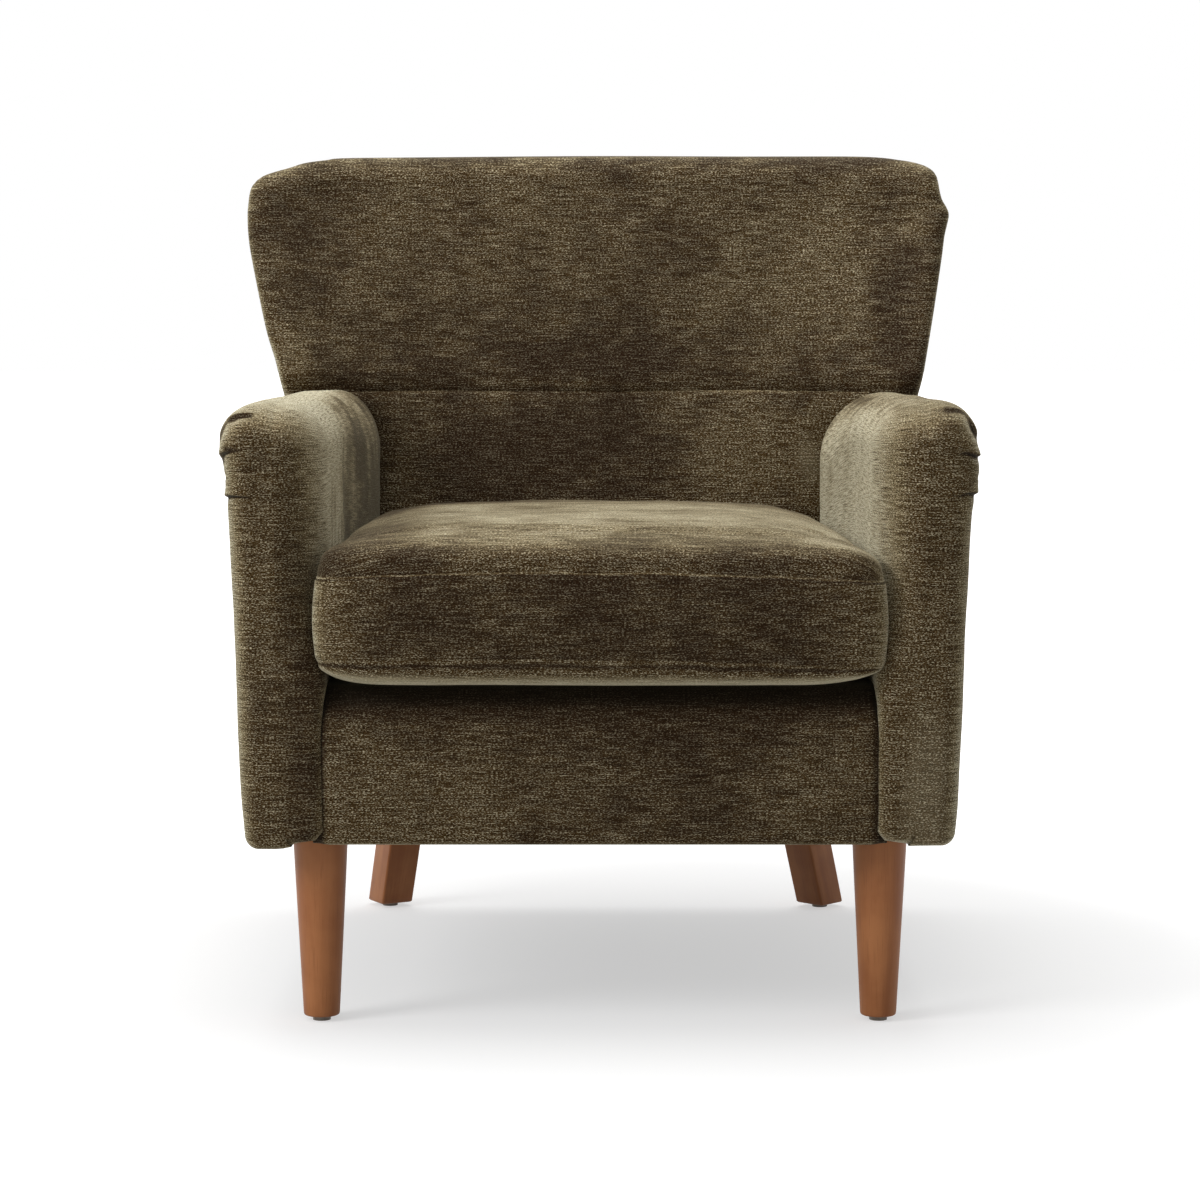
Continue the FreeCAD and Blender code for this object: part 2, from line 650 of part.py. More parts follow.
def back_pieces():
    """Foam and covers of the lumbar part, the upper part with its wings, and the outside."""
    grown_arm = arm_form(-SOFT_GAP, BASE_Z - SOFT_GAP)
    arms = both_sides(grown_arm)
    rear = behind_back_split(0)
    lumbar_half = ARM_INNER_X_REAR + LUMBAR_SIDE_LAP
    lumbar_region = box(-lumbar_half, lumbar_half, -FAR, FAR, SEAT_DECK_Z + FABRIC, BACK_SEAM_Z)

    def upper_region(wing_low_z):
        """Above the seam, and beside the lumbar part down to the given height."""
        above_seam = box(-FAR, FAR, -FAR, FAR, BACK_SEAM_Z, FAR)
        return above_seam.fuse(both_sides(box(lumbar_half, FAR, -FAR, FAR, wing_low_z, FAR)))

    skin = back_form(0.0).cut(back_form(FABRIC, BASE_Z + FABRIC))
    front_skin = skin.cut(arms + [rear])
    bulk = back_form(FABRIC + TOUCH_GAP, BASE_Z + FABRIC + TOUCH_GAP)
    boards = both_sides(wing_board(TOUCH_GAP))
    foam = bulk.cut(arms + [rear, back_frame_space(TOUCH_GAP)] + boards)
    return {
        "lumbar_pad": foam.common(lumbar_region),
        "lumbar_cover": front_skin.common(lumbar_region),
        "upper_back_pad": foam.common(upper_region(WING_FOAM_LOW_Z)),
        "upper_back_cover": front_skin.common(upper_region(WING_START_Z)),
        "outside_back_board": bulk.common(rear),
        "outside_back_cover": skin.common(rear),
    }


def front_rail_pieces():
    """Padded panel on the front seat rail, between the arms."""
    half = ARM_INNER_X_FRONT - SOFT_GAP
    rear_y = FRONT_RAIL_Y - TOUCH_GAP

    def panel(inset, low):
        y0, z1, r = RAIL_FACE_Y + inset, RAIL_PANEL_TOP_Z - inset, RAIL_PANEL_ROUND - inset
        x0 = -half + inset
        mid = r * (1 - math.sqrt(0.5))
        edges = [
            line(Vector(x0, rear_y, low), Vector(x0, y0, low)),
            line(Vector(x0, y0, low), Vector(x0, y0, z1 - r)),
            arc(Vector(x0, y0, z1 - r), Vector(x0, y0 + mid, z1 - mid), Vector(x0, y0 + r, z1)),
            line(Vector(x0, y0 + r, z1), Vector(x0, rear_y, z1)),
            line(Vector(x0, rear_y, z1), Vector(x0, rear_y, low)),
        ]
        return Part.Face(Part.Wire(edges)).extrude(Vector(-2 * x0, 0, 0))

    pad = panel(FABRIC, BASE_Z + FABRIC)
    cover = panel(0.0, BASE_Z).cut(panel(FABRIC, BASE_Z + FABRIC))
    return pad, cover


def deck_pieces():
    """Pad on the seat springs and the cloth that covers it under the loose cushion."""
    half = ARM_INNER_X_FRONT
    low = SPRING_Z + SPRING_WIRE_R + CLIP_ROOF + TOUCH_GAP
    front = FRONT_RAIL_Y
    rear = INSIDE_BACK_Y + FABRIC + BACK_FOAM
    top = SEAT_DECK_Z - FABRIC
    arms = both_sides(arm_form(-SOFT_GAP, BASE_Z - SOFT_GAP))
    pad = box(-half, half, front, rear, low, top).cut(arms)
    cover = box(-half, half, front, rear, top, SEAT_DECK_Z).cut(arms)
    return pad, cover


# Loose cushion

def cushion_outline(z, inset):
    """Closed plan of the cushion: round corners, a nose wider than the arm gap, drawn-in sides."""
    front = CUSHION_FRONT_Y + inset
    rear = CUSHION_REAR_Y - inset
    nose = CUSHION_FRONT_HALF - inset
    neck = ARM_INNER_X_FRONT - CUSHION_ARM_GAP - inset
    tail = ARM_INNER_X_REAR - CUSHION_ARM_GAP - inset
    nose_r = CUSHION_CORNER_R + CUSHION_CORNER_SOFTEN * inset
    tail_r = CUSHION_REAR_R + CUSHION_CORNER_SOFTEN * inset
    nose_c = (nose - nose_r, front + nose_r)
    tail_c = (tail - tail_r, rear - tail_r)
    neck_y = nose_c[1] + CUSHION_NECK_RUN
    slant = math.sqrt(0.5)

    def at(x, y):
        return Vector(x, y, z)

    right = [
        arc(
            at(nose_c[0], front),
            at(nose_c[0] + nose_r * slant, nose_c[1] - nose_r * slant),
            at(nose, nose_c[1]),
        ),
        line(at(nose, nose_c[1]), at(neck, neck_y)),
        arc(
            at(neck, neck_y),
            at((neck + tail) / 2 - CUSHION_DRAW, (neck_y + tail_c[1]) / 2),
            at(tail, tail_c[1]),
        ),
        arc(
            at(tail, tail_c[1]),
            at(tail_c[0] + tail_r * slant, tail_c[1] + tail_r * slant),
            at(tail_c[0], rear),
        ),
    ]
    left = [mirrored(edge) for edge in reversed(right)]
    front_edge = arc(at(-nose_c[0], front), at(0, front + CUSHION_DRAW / 2), at(nose_c[0], front))
    rear_edge = line(at(tail_c[0], rear), at(-tail_c[0], rear))
    return Part.Wire([front_edge] + right + [rear_edge] + left)


def cushion_form(inset):
    """Box cushion with a crowned top, drawn in all round by inset."""
    levels = [
        (CUSHION_LOW_Z + inset, CUSHION_UNDER_INSET),
        (CUSHION_LOW_Z + inset + (CUSHION_LOW_SEAM_Z - CUSHION_LOW_Z) / 3, CUSHION_UNDER_INSET / 3),
        (CUSHION_LOW_SEAM_Z, 0.0),
        (CUSHION_TOP_SEAM_Z, 0.0),
    ]
    for rise, reach in CROWN_STEPS:
        crown_z = CUSHION_TOP_SEAM_Z + (CUSHION_CROWN - inset) * rise
        levels.append((crown_z, CUSHION_CROWN_REACH * reach))
    return loft([cushion_outline(z, step_in + inset) for z, step_in in levels])


def cushion_pieces():
    cover = cushion_form(0.0).cut(cushion_form(FABRIC))
    core = cushion_form(FABRIC + TOUCH_GAP)
    return core, cover


def zip_pieces():
    """Zip on the cushion's rear boxing, and its slider at the closed end."""
    face = CUSHION_REAR_Y
    tape_y = face + ZIP_TAPE_THICK
    chain_y = tape_y + ZIP_CHAIN_THICK
    tape_half, chain_half = ZIP_TAPE_WIDE / 2, ZIP_CHAIN_WIDE / 2
    tape = box(-ZIP_HALF, ZIP_HALF, face, tape_y, ZIP_Z - tape_half, ZIP_Z + tape_half)
    chain = box(-ZIP_HALF, ZIP_HALF, tape_y, chain_y, ZIP_Z - chain_half, ZIP_Z + chain_half)
    start = -ZIP_HALF
    end = start + SLIDER_LONG
    outer = box(start, end, tape_y + SLIDER_FIT, chain_y + SLIDER_FIT + SLIDER_WALL,
                ZIP_Z - SLIDER_WIDE / 2, ZIP_Z + SLIDER_WIDE / 2)
    groove_half = chain_half + SLIDER_FIT
    groove = box(start, end, face, chain_y + SLIDER_FIT, ZIP_Z - groove_half, ZIP_Z + groove_half)
    return tape.fuse(chain).removeSplitter(), outer.cut(groove)


# Legs

def leg_sockets(leg, top, foot):
    """Bores the leg for its bolt at the top and its glide pin at the foot."""
    bolt = rod(BOLT_R + BOLT_FIT, top - Vector(0, 0, BOLT_IN_LEG), Vector(0, 0, 1), BOLT_IN_LEG)
    pin = rod(GLIDE_PIN_R + BOLT_FIT, foot, Vector(0, 0, 1), GLIDE_PIN_LONG + BOLT_FIT)
    return leg.cut([bolt, pin])


def front_leg(x):
    """Round leg that tapers straight to its foot."""
    foot = Vector(x, FRONT_LEG_Y, GLIDE_THICK)
    top = Vector(x, FRONT_LEG_Y, FRAME_BOTTOM_Z)
    high = FRAME_BOTTOM_Z - GLIDE_THICK
    cone = Part.makeCone(FRONT_LEG_FOOT_R, FRONT_LEG_TOP_R, high, foot)
    rim = [edge for edge in cone.Edges if abs(edge.BoundBox.ZMax - GLIDE_THICK) < TOUCH_GAP]
    return leg_sockets(cone.makeFillet(LEG_EDGE_R, rim), top, foot), foot, top


def rear_leg(x, turn):
    """Square leg raked back and turned outwards by turn degrees."""
    high = FRAME_BOTTOM_Z - GLIDE_THICK
    swing = math.radians(turn if x > 0 else -turn)
    rake_way = Vector(math.sin(swing), math.cos(swing), 0)
    across = Vector(math.cos(swing), -math.sin(swing), 0)
    top = Vector(x, REAR_LEG_Y, FRAME_BOTTOM_Z)
    foot = top - Vector(0, 0, high) + rake_way * (high * lean(REAR_LEG_RAKE_DEG))

    def square(centre, side):
        corners = [
            centre + rake_way * (side / 2 * a) + across * (side / 2 * b)
            for a, b in ((-1, -1), (-1, 1), (1, 1), (1, -1))
        ]
        return Part.makePolygon(corners + corners[:1])

    leg = loft([square(foot, REAR_LEG_FOOT_SIDE), square(top, REAR_LEG_TOP_SIDE)])
    long_edges = [edge for edge in leg.Edges if edge.BoundBox.ZLength > high / 2]
    return leg_sockets(leg.makeFillet(LEG_EDGE_R, long_edges), top, foot), foot, top


def glide(foot):
    """Round foot pad with a pin driven up into the leg."""
    floor = Vector(foot.x, foot.y, 0)
    pad = rod(GLIDE_R, floor, Vector(0, 0, 1), GLIDE_THICK)
    return pad.fuse(rod(GLIDE_PIN_R, floor, Vector(0, 0, 1), GLIDE_THICK + GLIDE_PIN_LONG)).removeSplitter()


def leg_bolt(top):
    low = top - Vector(0, 0, BOLT_IN_LEG)
    return rod(BOLT_R, low, Vector(0, 0, 1), BOLT_IN_LEG + BLOCK_HIGH + BOLT_ABOVE_BLOCK)


def tee_nut(top):
    """Flanged nut let into the top of a corner block."""
    face = top + Vector(0, 0, BLOCK_HIGH)
    flange = rod(TEE_FLANGE_R, face, Vector(0, 0, 1), TEE_FLANGE_THICK)
    barrel = rod(TEE_BARREL_R, face - Vector(0, 0, TEE_BARREL_LONG), Vector(0, 0, 1), TEE_BARREL_LONG)
    bore = rod(BOLT_R + BOLT_FIT, top, Vector(0, 0, 1), BLOCK_HIGH + BOLT_ABOVE_BLOCK)
    return flange.fuse(barrel).cut(bore)


def dust_cover(feet):
    """Thin black cloth under the seat frame, cut out round the legs."""
    half = SIDE_RAIL_X + BOARD - DUST_HEM
    rear = REAR_RAIL_Y + BOARD - DUST_HEM
    sheet = box(-half, half, FRONT_RAIL_Y + DUST_HEM, rear, DUST_Z, FRAME_BOTTOM_Z)
    front_hole = FRONT_LEG_TOP_R + LEG_HOLE_GAP
    rear_hole = REAR_LEG_TOP_SIDE / 2 * math.sqrt(2) + LEG_HOLE_GAP
    holes = []
    for top in feet:
        radius = front_hole if top.y < 0 else rear_hole
        holes.append(rod(radius, Vector(top.x, top.y, 0), Vector(0, 0, 1), FRAME_BOTTOM_Z + BLOCK_HIGH))
    return sheet.cut(holes)


def build():
    nodes = {}

    def add(name, *shapes):
        nodes[name] = [solid for shape in shapes for solid in shape.Solids]

    def add_pair(name, right):
        add("right_" + name, right)
        add("left_" + name, mirrored(right))

    front_rail, rear_rail, side_rail = seat_rails()
    front_block, front_screws, front_holes = corner_block(
        SIDE_RAIL_X, STUMP_REAR_Y, FRONT_BLOCK_LEG, 1, FRONT_LEG_X, FRONT_LEG_Y)
    rear_block, rear_screws, rear_holes = corner_block(
        POST_X, REAR_RAIL_Y, REAR_BLOCK_LEG, -1, REAR_LEG_X, REAR_LEG_Y)
    right_holes = front_holes + rear_holes
    holes = right_holes + [mirrored(hole) for hole in right_holes]
    add("front_seat_rail", front_rail.cut(holes))
    add("rear_seat_rail", rear_rail.cut(holes))
    add_pair("seat_rail", side_rail.cut(holes))
    add("corner_blocks", *both_sides(front_block), *both_sides(rear_block))
    right_screws = front_screws + rear_screws
    add("corner_block_screws", *right_screws, *[mirrored(screw) for screw in right_screws])
    add_pair("arm_stump", arm_stump())
    add_pair("arm_rail", arm_rail())
    add_pair("back_post", back_post().cut(holes))
    add("top_back_rail", back_rail(TOP_RAIL_Z))
    add("lumbar_back_rail", back_rail(LUMBAR_RAIL_Z))
    add("lower_back_rail", back_rail(LOWER_RAIL_Z))
    add_pair("wing_board", wing_board())

    spring_places = even_places(SPRING_COUNT, SPRING_SPACING)
    add("seat_springs", *[seat_spring(x) for x in spring_places])
    clip_rows = (FRONT_RAIL_Y + BOARD / 2, REAR_RAIL_Y + BOARD / 2)
    add("spring_clips", *[spring_clip(x, y) for x in spring_places for y in clip_rows])
    add("back_webbing", *[back_strap(x) for x in even_places(WEB_COUNT, WEB_SPACING)])

    foam, cover, outside = right_arm_pieces()
    add_pair("arm_pad", foam)
    add_pair("arm_cover", cover)
    add_pair("outside_arm_cover", outside)
    for name, shape in back_pieces().items():
        add(name, shape)
    rail_pad, rail_cover = front_rail_pieces()
    add("front_rail_pad", rail_pad)
    add("front_rail_cover", rail_cover)
    deck_pad, deck_cover = deck_pieces()
    add("deck_pad", deck_pad)
    add("deck_cover", deck_cover)

    core, cushion_cover = cushion_pieces()
    zip_tape, slider = zip_pieces()
    add("seat_cushion_core", core)
    add("seat_cushion_cover", cushion_cover)
    add("cushion_zip", zip_tape)
    add("zip_slider", slider)

    legs = {
        "left_front_leg": front_leg(-FRONT_LEG_X),
        "right_front_leg": front_leg(FRONT_LEG_X),
        "left_rear_leg": rear_leg(-REAR_LEG_X, REAR_LEG_TURN_LEFT_DEG),
        "right_rear_leg": rear_leg(REAR_LEG_X, REAR_LEG_TURN_RIGHT_DEG),
    }
    for name, (leg, foot, top) in legs.items():
        add(name, leg)
    tops = [top for leg, foot, top in legs.values()]
    add("leg_glides", *[glide(foot) for leg, foot, top in legs.values()])
    add("leg_bolts", *[leg_bolt(top) for top in tops])
    add("leg_tee_nuts", *[tee_nut(top) for top in tops])
    add("dust_cover", dust_cover(tops))
    return nodes


os.makedirs("parts", exist_ok=True)
for node, solids in sorted(build().items()):
    Part.makeCompound(solids).exportStep(os.path.join("parts", node + ".step"))
    total = sum(solid.Volume for solid in solids)
    sound = all(solid.isValid() for solid in solids)
    print(f"{node:24s} {len(solids):3d} solids {total:12.0f} mm3", "sound" if sound else "BROKEN")
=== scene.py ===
"""Looks of a wingback armchair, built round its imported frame."""

import json
import math

import bmesh
import bpy
import numpy as np
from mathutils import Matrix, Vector


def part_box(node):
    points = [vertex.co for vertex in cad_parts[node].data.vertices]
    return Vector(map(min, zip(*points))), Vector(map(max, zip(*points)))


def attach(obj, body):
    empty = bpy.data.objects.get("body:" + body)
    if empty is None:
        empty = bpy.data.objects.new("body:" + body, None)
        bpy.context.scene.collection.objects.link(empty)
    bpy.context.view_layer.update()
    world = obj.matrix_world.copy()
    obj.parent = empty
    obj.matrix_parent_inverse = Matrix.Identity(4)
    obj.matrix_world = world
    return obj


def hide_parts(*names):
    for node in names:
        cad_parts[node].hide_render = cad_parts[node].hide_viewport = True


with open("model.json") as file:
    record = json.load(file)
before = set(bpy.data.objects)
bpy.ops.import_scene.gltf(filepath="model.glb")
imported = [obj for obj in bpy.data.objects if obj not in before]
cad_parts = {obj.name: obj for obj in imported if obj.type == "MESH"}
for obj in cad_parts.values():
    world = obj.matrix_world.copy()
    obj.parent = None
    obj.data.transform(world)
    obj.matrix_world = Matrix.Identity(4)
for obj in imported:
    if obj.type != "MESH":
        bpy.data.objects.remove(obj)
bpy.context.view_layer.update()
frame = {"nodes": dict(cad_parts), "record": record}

MM = 0.001

# Sizes in millimetres, as in the solids

ARM_FRONT_Y = -362.0
ARM_TOP_Z = 621.0
ARM_BASE_Z = 185.0
ARM_FOOT_Z = 199.0
ARM_INNER_X = 270.0
ARM_HALF_WIDTH = 368.0
ARM_LEAN = math.tan(math.radians(3.4))
ARM_INNER_R = 48.0
ARM_OUTER_R = 42.0
ARM_HEM_R = 14.0
ARM_SHOULDER_Z = ARM_TOP_Z - ARM_INNER_R
ARM_ROLL_Z = ARM_TOP_Z - ARM_OUTER_R
ARM_PANEL_TOP_Z = 547.0
ARM_PANEL_FRONT_Y = -336.0
INSIDE_BACK_Y = 165.0
LEAN_START_Z = 486.0
INSIDE_SLOPE = 0.25495
OUTSIDE_BACK_Y = 385.0
OUTSIDE_BACK_HIGH_Z = 860.0
OUTSIDE_SLOPE = math.tan(math.radians(4.0))
OUTSIDE_PANEL_THICK = 16.0
OUTSIDE_FOOT_Z = 186.0
BACK_SEAM_Z = 619.0
BACK_CORNER_Z = 556.0
BACK_FLAT_HALF = 120.0
BACK_RIM_R = 27.0
RAIL_FACE_Y = -355.0
RAIL_TOP_Z = 341.0
RAIL_PANEL_HALF = 283.0
DECK_Z = 344.0
DECK_HALF = 274.0
DECK_FRONT_Y, DECK_REAR_Y = -322.0, 176.0
LEG_TOP_Z = 188.0
LEG_FOOT_Z = 5.0
FRONT_LEG_X, FRONT_LEG_Y = 279.5, -297.0
REAR_LEG_X, REAR_LEG_Y = 224.0, 284.01


# Numbers for soft shapes

LUMP_PRIMES = np.array([73856093, 19349663, 83492791])


def ease(value, start, end):
    """0 before the start, 1 past the end, smooth between."""
    share = np.clip((value - start) / (end - start), 0.0, 1.0)
    return share * share * (3 - 2 * share)


def swell(value, middle, width):
    """Bell of height one."""
    return np.exp(-((value - middle) / width) ** 2)


def lumps(points, cell, seed):
    """Smooth uneven values between -1 and 1, the same on every run."""
    place = points / cell + seed * 13.7
    whole = np.floor(place).astype(np.int64)
    part = place - whole
    part = part * part * (3 - 2 * part)
    total = np.zeros(points.shape[:-1])
    for corner in np.ndindex(2, 2, 2):
        step = np.array(corner)
        mixed = ((whole + step) * LUMP_PRIMES).sum(-1) & 0x7FFFFFFF
        mixed = ((mixed ^ (mixed >> 13)) * 1274126177) & 0x7FFFFFFF
        mixed = ((mixed ^ (mixed >> 16)) * 668265263) & 0x7FFFFFFF
        share = np.where(step == 1, part, 1 - part).prod(-1)
        total += share * ((mixed >> 7) % 4096 / 2047.5 - 1)
    return total


def xyz(x, y, z):
    """Points from their three coordinates."""
    return np.stack(np.broadcast_arrays(x, y, z), -1)


def run_along(points):
    """Length along a polyline from its first point to each point."""
    return np.concatenate([[0], np.cumsum(np.linalg.norm(np.diff(points, axis=0), axis=1))])


def evenly(points, shares):
    """Points at shares of a polyline's length."""
    run = run_along(points)
    return np.stack([np.interp(shares * run[-1], run, line) for line in points.T], -1)


def through(points, count):
    """Smooth curve through control points, with its points evenly spread."""
    points = np.array(points, float)
    padded = np.vstack([2 * points[0] - points[1], points, 2 * points[-1] - points[-2]])
    t = np.linspace(0, 1, 24, endpoint=False)[:, None]
    fine = []
    for a, b, c, d in zip(padded, padded[1:], padded[2:], padded[3:]):
        fine.append(0.5 * (2 * b + (c - a) * t + (2 * a - 5 * b + 4 * c - d) * t ** 2
                           + (3 * b - a - 3 * c + d) * t ** 3))
    return evenly(np.vstack(fine + [points[-1:]]), np.linspace(0, 1, count))


def edge_shares(count, even=0.4):
    """Shares from 0 to 1 that crowd towards both ends."""
    t = np.linspace(0, 1, count)
    return even * t + (1 - even) * (0.5 - 0.5 * np.cos(math.pi * t))


def off_line(points, line):
    """Distance of flat points from a polyline."""
    a, b = line[:-1], line[1:]
    run = b - a
    t = ((points[..., None, :] - a) * run).sum(-1) / np.maximum((run ** 2).sum(-1), 1e-9)
    near = a + np.clip(t, 0, 1)[..., None] * run
    return np.linalg.norm(points[..., None, :] - near, axis=-1).min(-1)


def patch(bottom, top, left, right, across, up):
    """Sheet of points between four edges; across and up are the shares of its columns and rows."""
    u, v = across[None, :, None], up[:, None, None]
    corners = ((1 - u) * (1 - v) * bottom[0] + u * (1 - v) * bottom[-1]
               + (1 - u) * v * top[0] + u * v * top[-1])
    return (1 - v) * bottom + v * top + (1 - u) * left[:, None] + u * right[:, None] - corners


def facing(points, centre):
    """Unit normals of a grid of points, turned away from a centre."""
    normal = np.cross(np.gradient(points, axis=0), np.gradient(points, axis=1))
    normal /= np.maximum(np.linalg.norm(normal, axis=-1, keepdims=True), 1e-9)
    inward = ((points - centre) * normal).sum(-1, keepdims=True) < 0
    return np.where(inward, -normal, normal)


def brushed_and_painted_light(points, patches, seed):
    """Which way the pile lies, and painted light and shade: uneven patches of (x, z, half width, half
    height, strength).
    """
    x, z = points[..., 0], points[..., 2]
    nap = sum(amount * swell(x, px, rx) * swell(z, pz, rz) for px, pz, rx, rz, amount in patches)
    return nap * (1.05 + 0.5 * lumps(points, 60.0, seed)) + 0.3 * lumps(points, 34.0, seed + 1)


def linked(name, data):
    """New object of a mesh, a lamp or a camera."""
    made = bpy.data.objects.new(name, data)
    bpy.context.collection.objects.link(made)
    return made


class Cloth:
    """Grids of points in millimetres that become one smooth mesh with cloth coordinates."""

    def __init__(self):
        self.points, self.spread, self.naps, self.quads = [], [], [], []
        self.count = 0

    def grid(self, points, along, across, nap=0.0):
        rows, cols = points.shape[:2]
        index = self.count + np.arange(rows * cols).reshape(rows, cols)
        quads = np.stack([index[:-1, :-1], index[1:, :-1], index[1:, 1:], index[:-1, 1:]], -1)
        spread = np.stack(np.broadcast_arrays(along, across, points[..., 0])[:2], -1)
        self.points.append(points.reshape(-1, 3))
        self.spread.append(spread.reshape(-1, 2))
        self.naps.append(np.broadcast_to(nap, (rows, cols)).reshape(-1))
        self.quads.append(quads.reshape(-1, 4))
        self.count += rows * cols

    def make(self, name, material):
        mesh = bpy.data.meshes.new(name)
        quads = np.vstack(self.quads)
        mesh.from_pydata((np.vstack(self.points) * MM).tolist(), [], quads.tolist())
        spread = np.vstack(self.spread) * MM
        layer = mesh.uv_layers.new(name="cloth")
        layer.data.foreach_set("uv", spread[quads.reshape(-1)].astype(np.float32).ravel())
        # Per point: how the pile lies, with painted light and shade laid into the same values
        nap = mesh.attributes.new("nap", "FLOAT", "POINT")
        nap.data.foreach_set("value", np.concatenate(self.naps).astype(np.float32))
        return finished(name, mesh, material)


def finished(name, mesh, material, weld=0.05 * MM):
    """Object of a mesh, with its doubles merged and its faces turned outwards."""
    shell = bmesh.new()
    shell.from_mesh(mesh)
    bmesh.ops.remove_doubles(shell, verts=shell.verts, dist=weld)
    bmesh.ops.dissolve_degenerate(shell, edges=shell.edges, dist=weld / 5)
    bmesh.ops.recalc_face_normals(shell, faces=shell.faces)
    bmesh.ops.delete(shell, geom=[v for v in shell.verts if not v.link_faces], context="VERTS")
    shell.to_mesh(mesh)
    shell.free()
    mesh.shade_smooth()
    mesh.materials.append(material)
    return linked(name, mesh)


# Finishes

def arithmetic(operation):
    """Methods for one kind of sum: with the value first, and with it second."""
    def first(self, other):
        return self.nodes.node("ShaderNodeMath", {"operation": operation}, {0: self, 1: other})

    def second(self, other):
        return self.nodes.node("ShaderNodeMath", {"operation": operation}, {0: other, 1: self})

    return first, second


class Value:
    """A node's output that arithmetic is written on."""

    def __init__(self, nodes, socket):
        self.nodes = nodes
        self.socket = socket

    __add__, __radd__ = arithmetic("ADD")
    __sub__, __rsub__ = arithmetic("SUBTRACT")
    __mul__, __rmul__ = arithmetic("MULTIPLY")
    __mod__, __rmod__ = arithmetic("MODULO")


class Nodes:
    """A node tree whose nodes are written as expressions."""

    def __init__(self, tree):
        self.tree = tree

    def node(self, kind, settings=None, sockets=None, output=0):
        made = self.tree.nodes.new(kind)
        for name, value in (settings or {}).items():
            setattr(made, name, value)
        for key, value in (sockets or {}).items():
            self.put(made.inputs[key], value)
        return Value(self, made.outputs[output]) if made.outputs else made

    def put(self, socket, value):
        if isinstance(value, Value):
            self.tree.links.new(value.socket, socket)
        else:
            socket.default_value = value


class Finish(Nodes):
    """A material."""

    def __init__(self, name, **constants):
        self.material = bpy.data.materials.new(name)
        self.material.use_nodes = True
        super().__init__(self.material.node_tree)
        self.shader = self.tree.nodes["Principled BSDF"]
        self.shade(**constants)

    def place(self, scale=(1, 1, 1)):
        here = self.node("ShaderNodeTexCoord", output="Object")
        return self.node("ShaderNodeMapping", {}, {"Vector": here, "Scale": scale})

    def on_cloth(self, scale):
        cloth = self.node("ShaderNodeUVMap", {"uv_map": "cloth"})
        return self.node("ShaderNodeMapping", {}, {"Vector": cloth, "Scale": scale})

    def noise(self, vector, scale, detail=2.0, rough=0.5, warp=0.0):
        return self.node("ShaderNodeTexNoise", {}, {"Vector": vector, "Scale": scale, "Detail": detail,
                                                    "Roughness": rough, "Distortion": warp})

    def rise(self, value, low, high):
        """0 below low, 1 above high, smooth between."""
        return self.node("ShaderNodeMapRange", {"interpolation_type": "SMOOTHSTEP"},
                         {"Value": value, "From Min": low, "From Max": high})

    def mix(self, share, low, high):
        settings = {"data_type": "RGBA", "clamp_factor": True}
        return self.node("ShaderNodeMix", settings, {0: share, 6: low, 7: high}, output=2)

    def bump(self, height, distance, strength):
        sockets = {"Height": height, "Distance": distance, "Strength": strength}
        return self.node("ShaderNodeBump", {}, sockets)

    def shade(self, **sockets):
        for socket, value in sockets.items():
            self.put(self.shader.inputs[socket.replace("_", " ")], value)
        return self.material


def rgb(red, green, blue):
    """Linear colour from screen values of 0 to 255."""
    def linear(value):
        value = value / 255
        return value / 12.92 if value <= 0.04045 else ((value + 0.055) / 1.055) ** 2.4
    return (linear(red), linear(green), linear(blue), 1.0)


def chenille():
    """Olive brown pile cloth: pale flecks along the weave, brushed patches, painted shade in creases,
    painted highlights, and a painted sheen that grows at grazing angles.
    """
    finish = Finish("olive_chenille", Sheen_Weight=0.25, Sheen_Roughness=0.4,
                    Sheen_Tint=rgb(214, 204, 172), Specular_IOR_Level=0.1)
    flecks = finish.noise(finish.on_cloth((430, 1250, 1)), 1.0, 2.0, 0.7)
    threads = finish.noise(finish.on_cloth((36, 760, 1)), 1.0, 3.0, 0.65)
    drift = finish.noise(finish.on_cloth((20, 120, 1)), 1.0, 4.0, 0.65)
    patches = finish.noise(finish.place((1, 1, 0.8)), 10.0, 5.0, 0.62, 0.3)
    strokes = finish.noise(finish.place((8, 24, 6)), 1.0, 4.0, 0.65, 0.4)
    nap = finish.node("ShaderNodeAttribute", {"attribute_name": "nap"}, output="Fac")
    low = finish.node("ShaderNodeLayerWeight", {}, {"Blend": 0.5}, output="Facing")

    pile = finish.rise(patches * 0.3 + strokes * 0.36 + drift * 0.34 + nap * 0.12, 0.38, 0.63)
    light = finish.rise(flecks * 0.7 + threads * 0.3, 0.53, 0.615)
    dark = finish.rise(1 - flecks * 0.64 - threads * 0.36, 0.49, 0.58)
    ground = finish.mix(pile, rgb(43, 25, 5), rgb(77, 57, 27))
    ground = finish.mix(dark * 0.85, ground, rgb(20, 10, 2))
    colour = finish.mix(light * (0.3 + pile * 0.62), ground, rgb(220, 210, 178))
    tips = 0.16 + light * 0.9 - dark * 0.5 + threads * 0.8
    # Painted sheen: colour paled towards grazing angles, more on pale flecks and where the attribute is high
    painted_sheen = finish.rise(low, 0.06, 1.04) * tips * (0.3 + pile * 0.85 + nap * 0.38)
    colour = finish.mix(painted_sheen * 0.86, colour, finish.mix(painted_sheen, rgb(206, 186, 136), rgb(214, 208, 182)))
    # Painted highlight: pale colour where the attribute runs high, as on the cushion's underside rim and the
    # right arm's low front
    painted_highlight = finish.rise(nap, 1.5, 4.0)
    colour = finish.mix(painted_highlight * 0.45, colour, rgb(204, 192, 158))
    # Painted shade: near black where the attribute falls well below zero, in the arm pleats and seam and
    # along the top of the front panel
    painted_crease_shade = finish.rise(0 - nap, 1.3, 2.4)
    colour = finish.mix(painted_crease_shade * 0.85, colour, rgb(18, 12, 6))
    return finish.shade(Base_Color=colour, Roughness=0.9 - light * 0.12,
                        Normal=finish.bump(flecks * 0.6 + threads * 0.4, 0.001, 0.45))


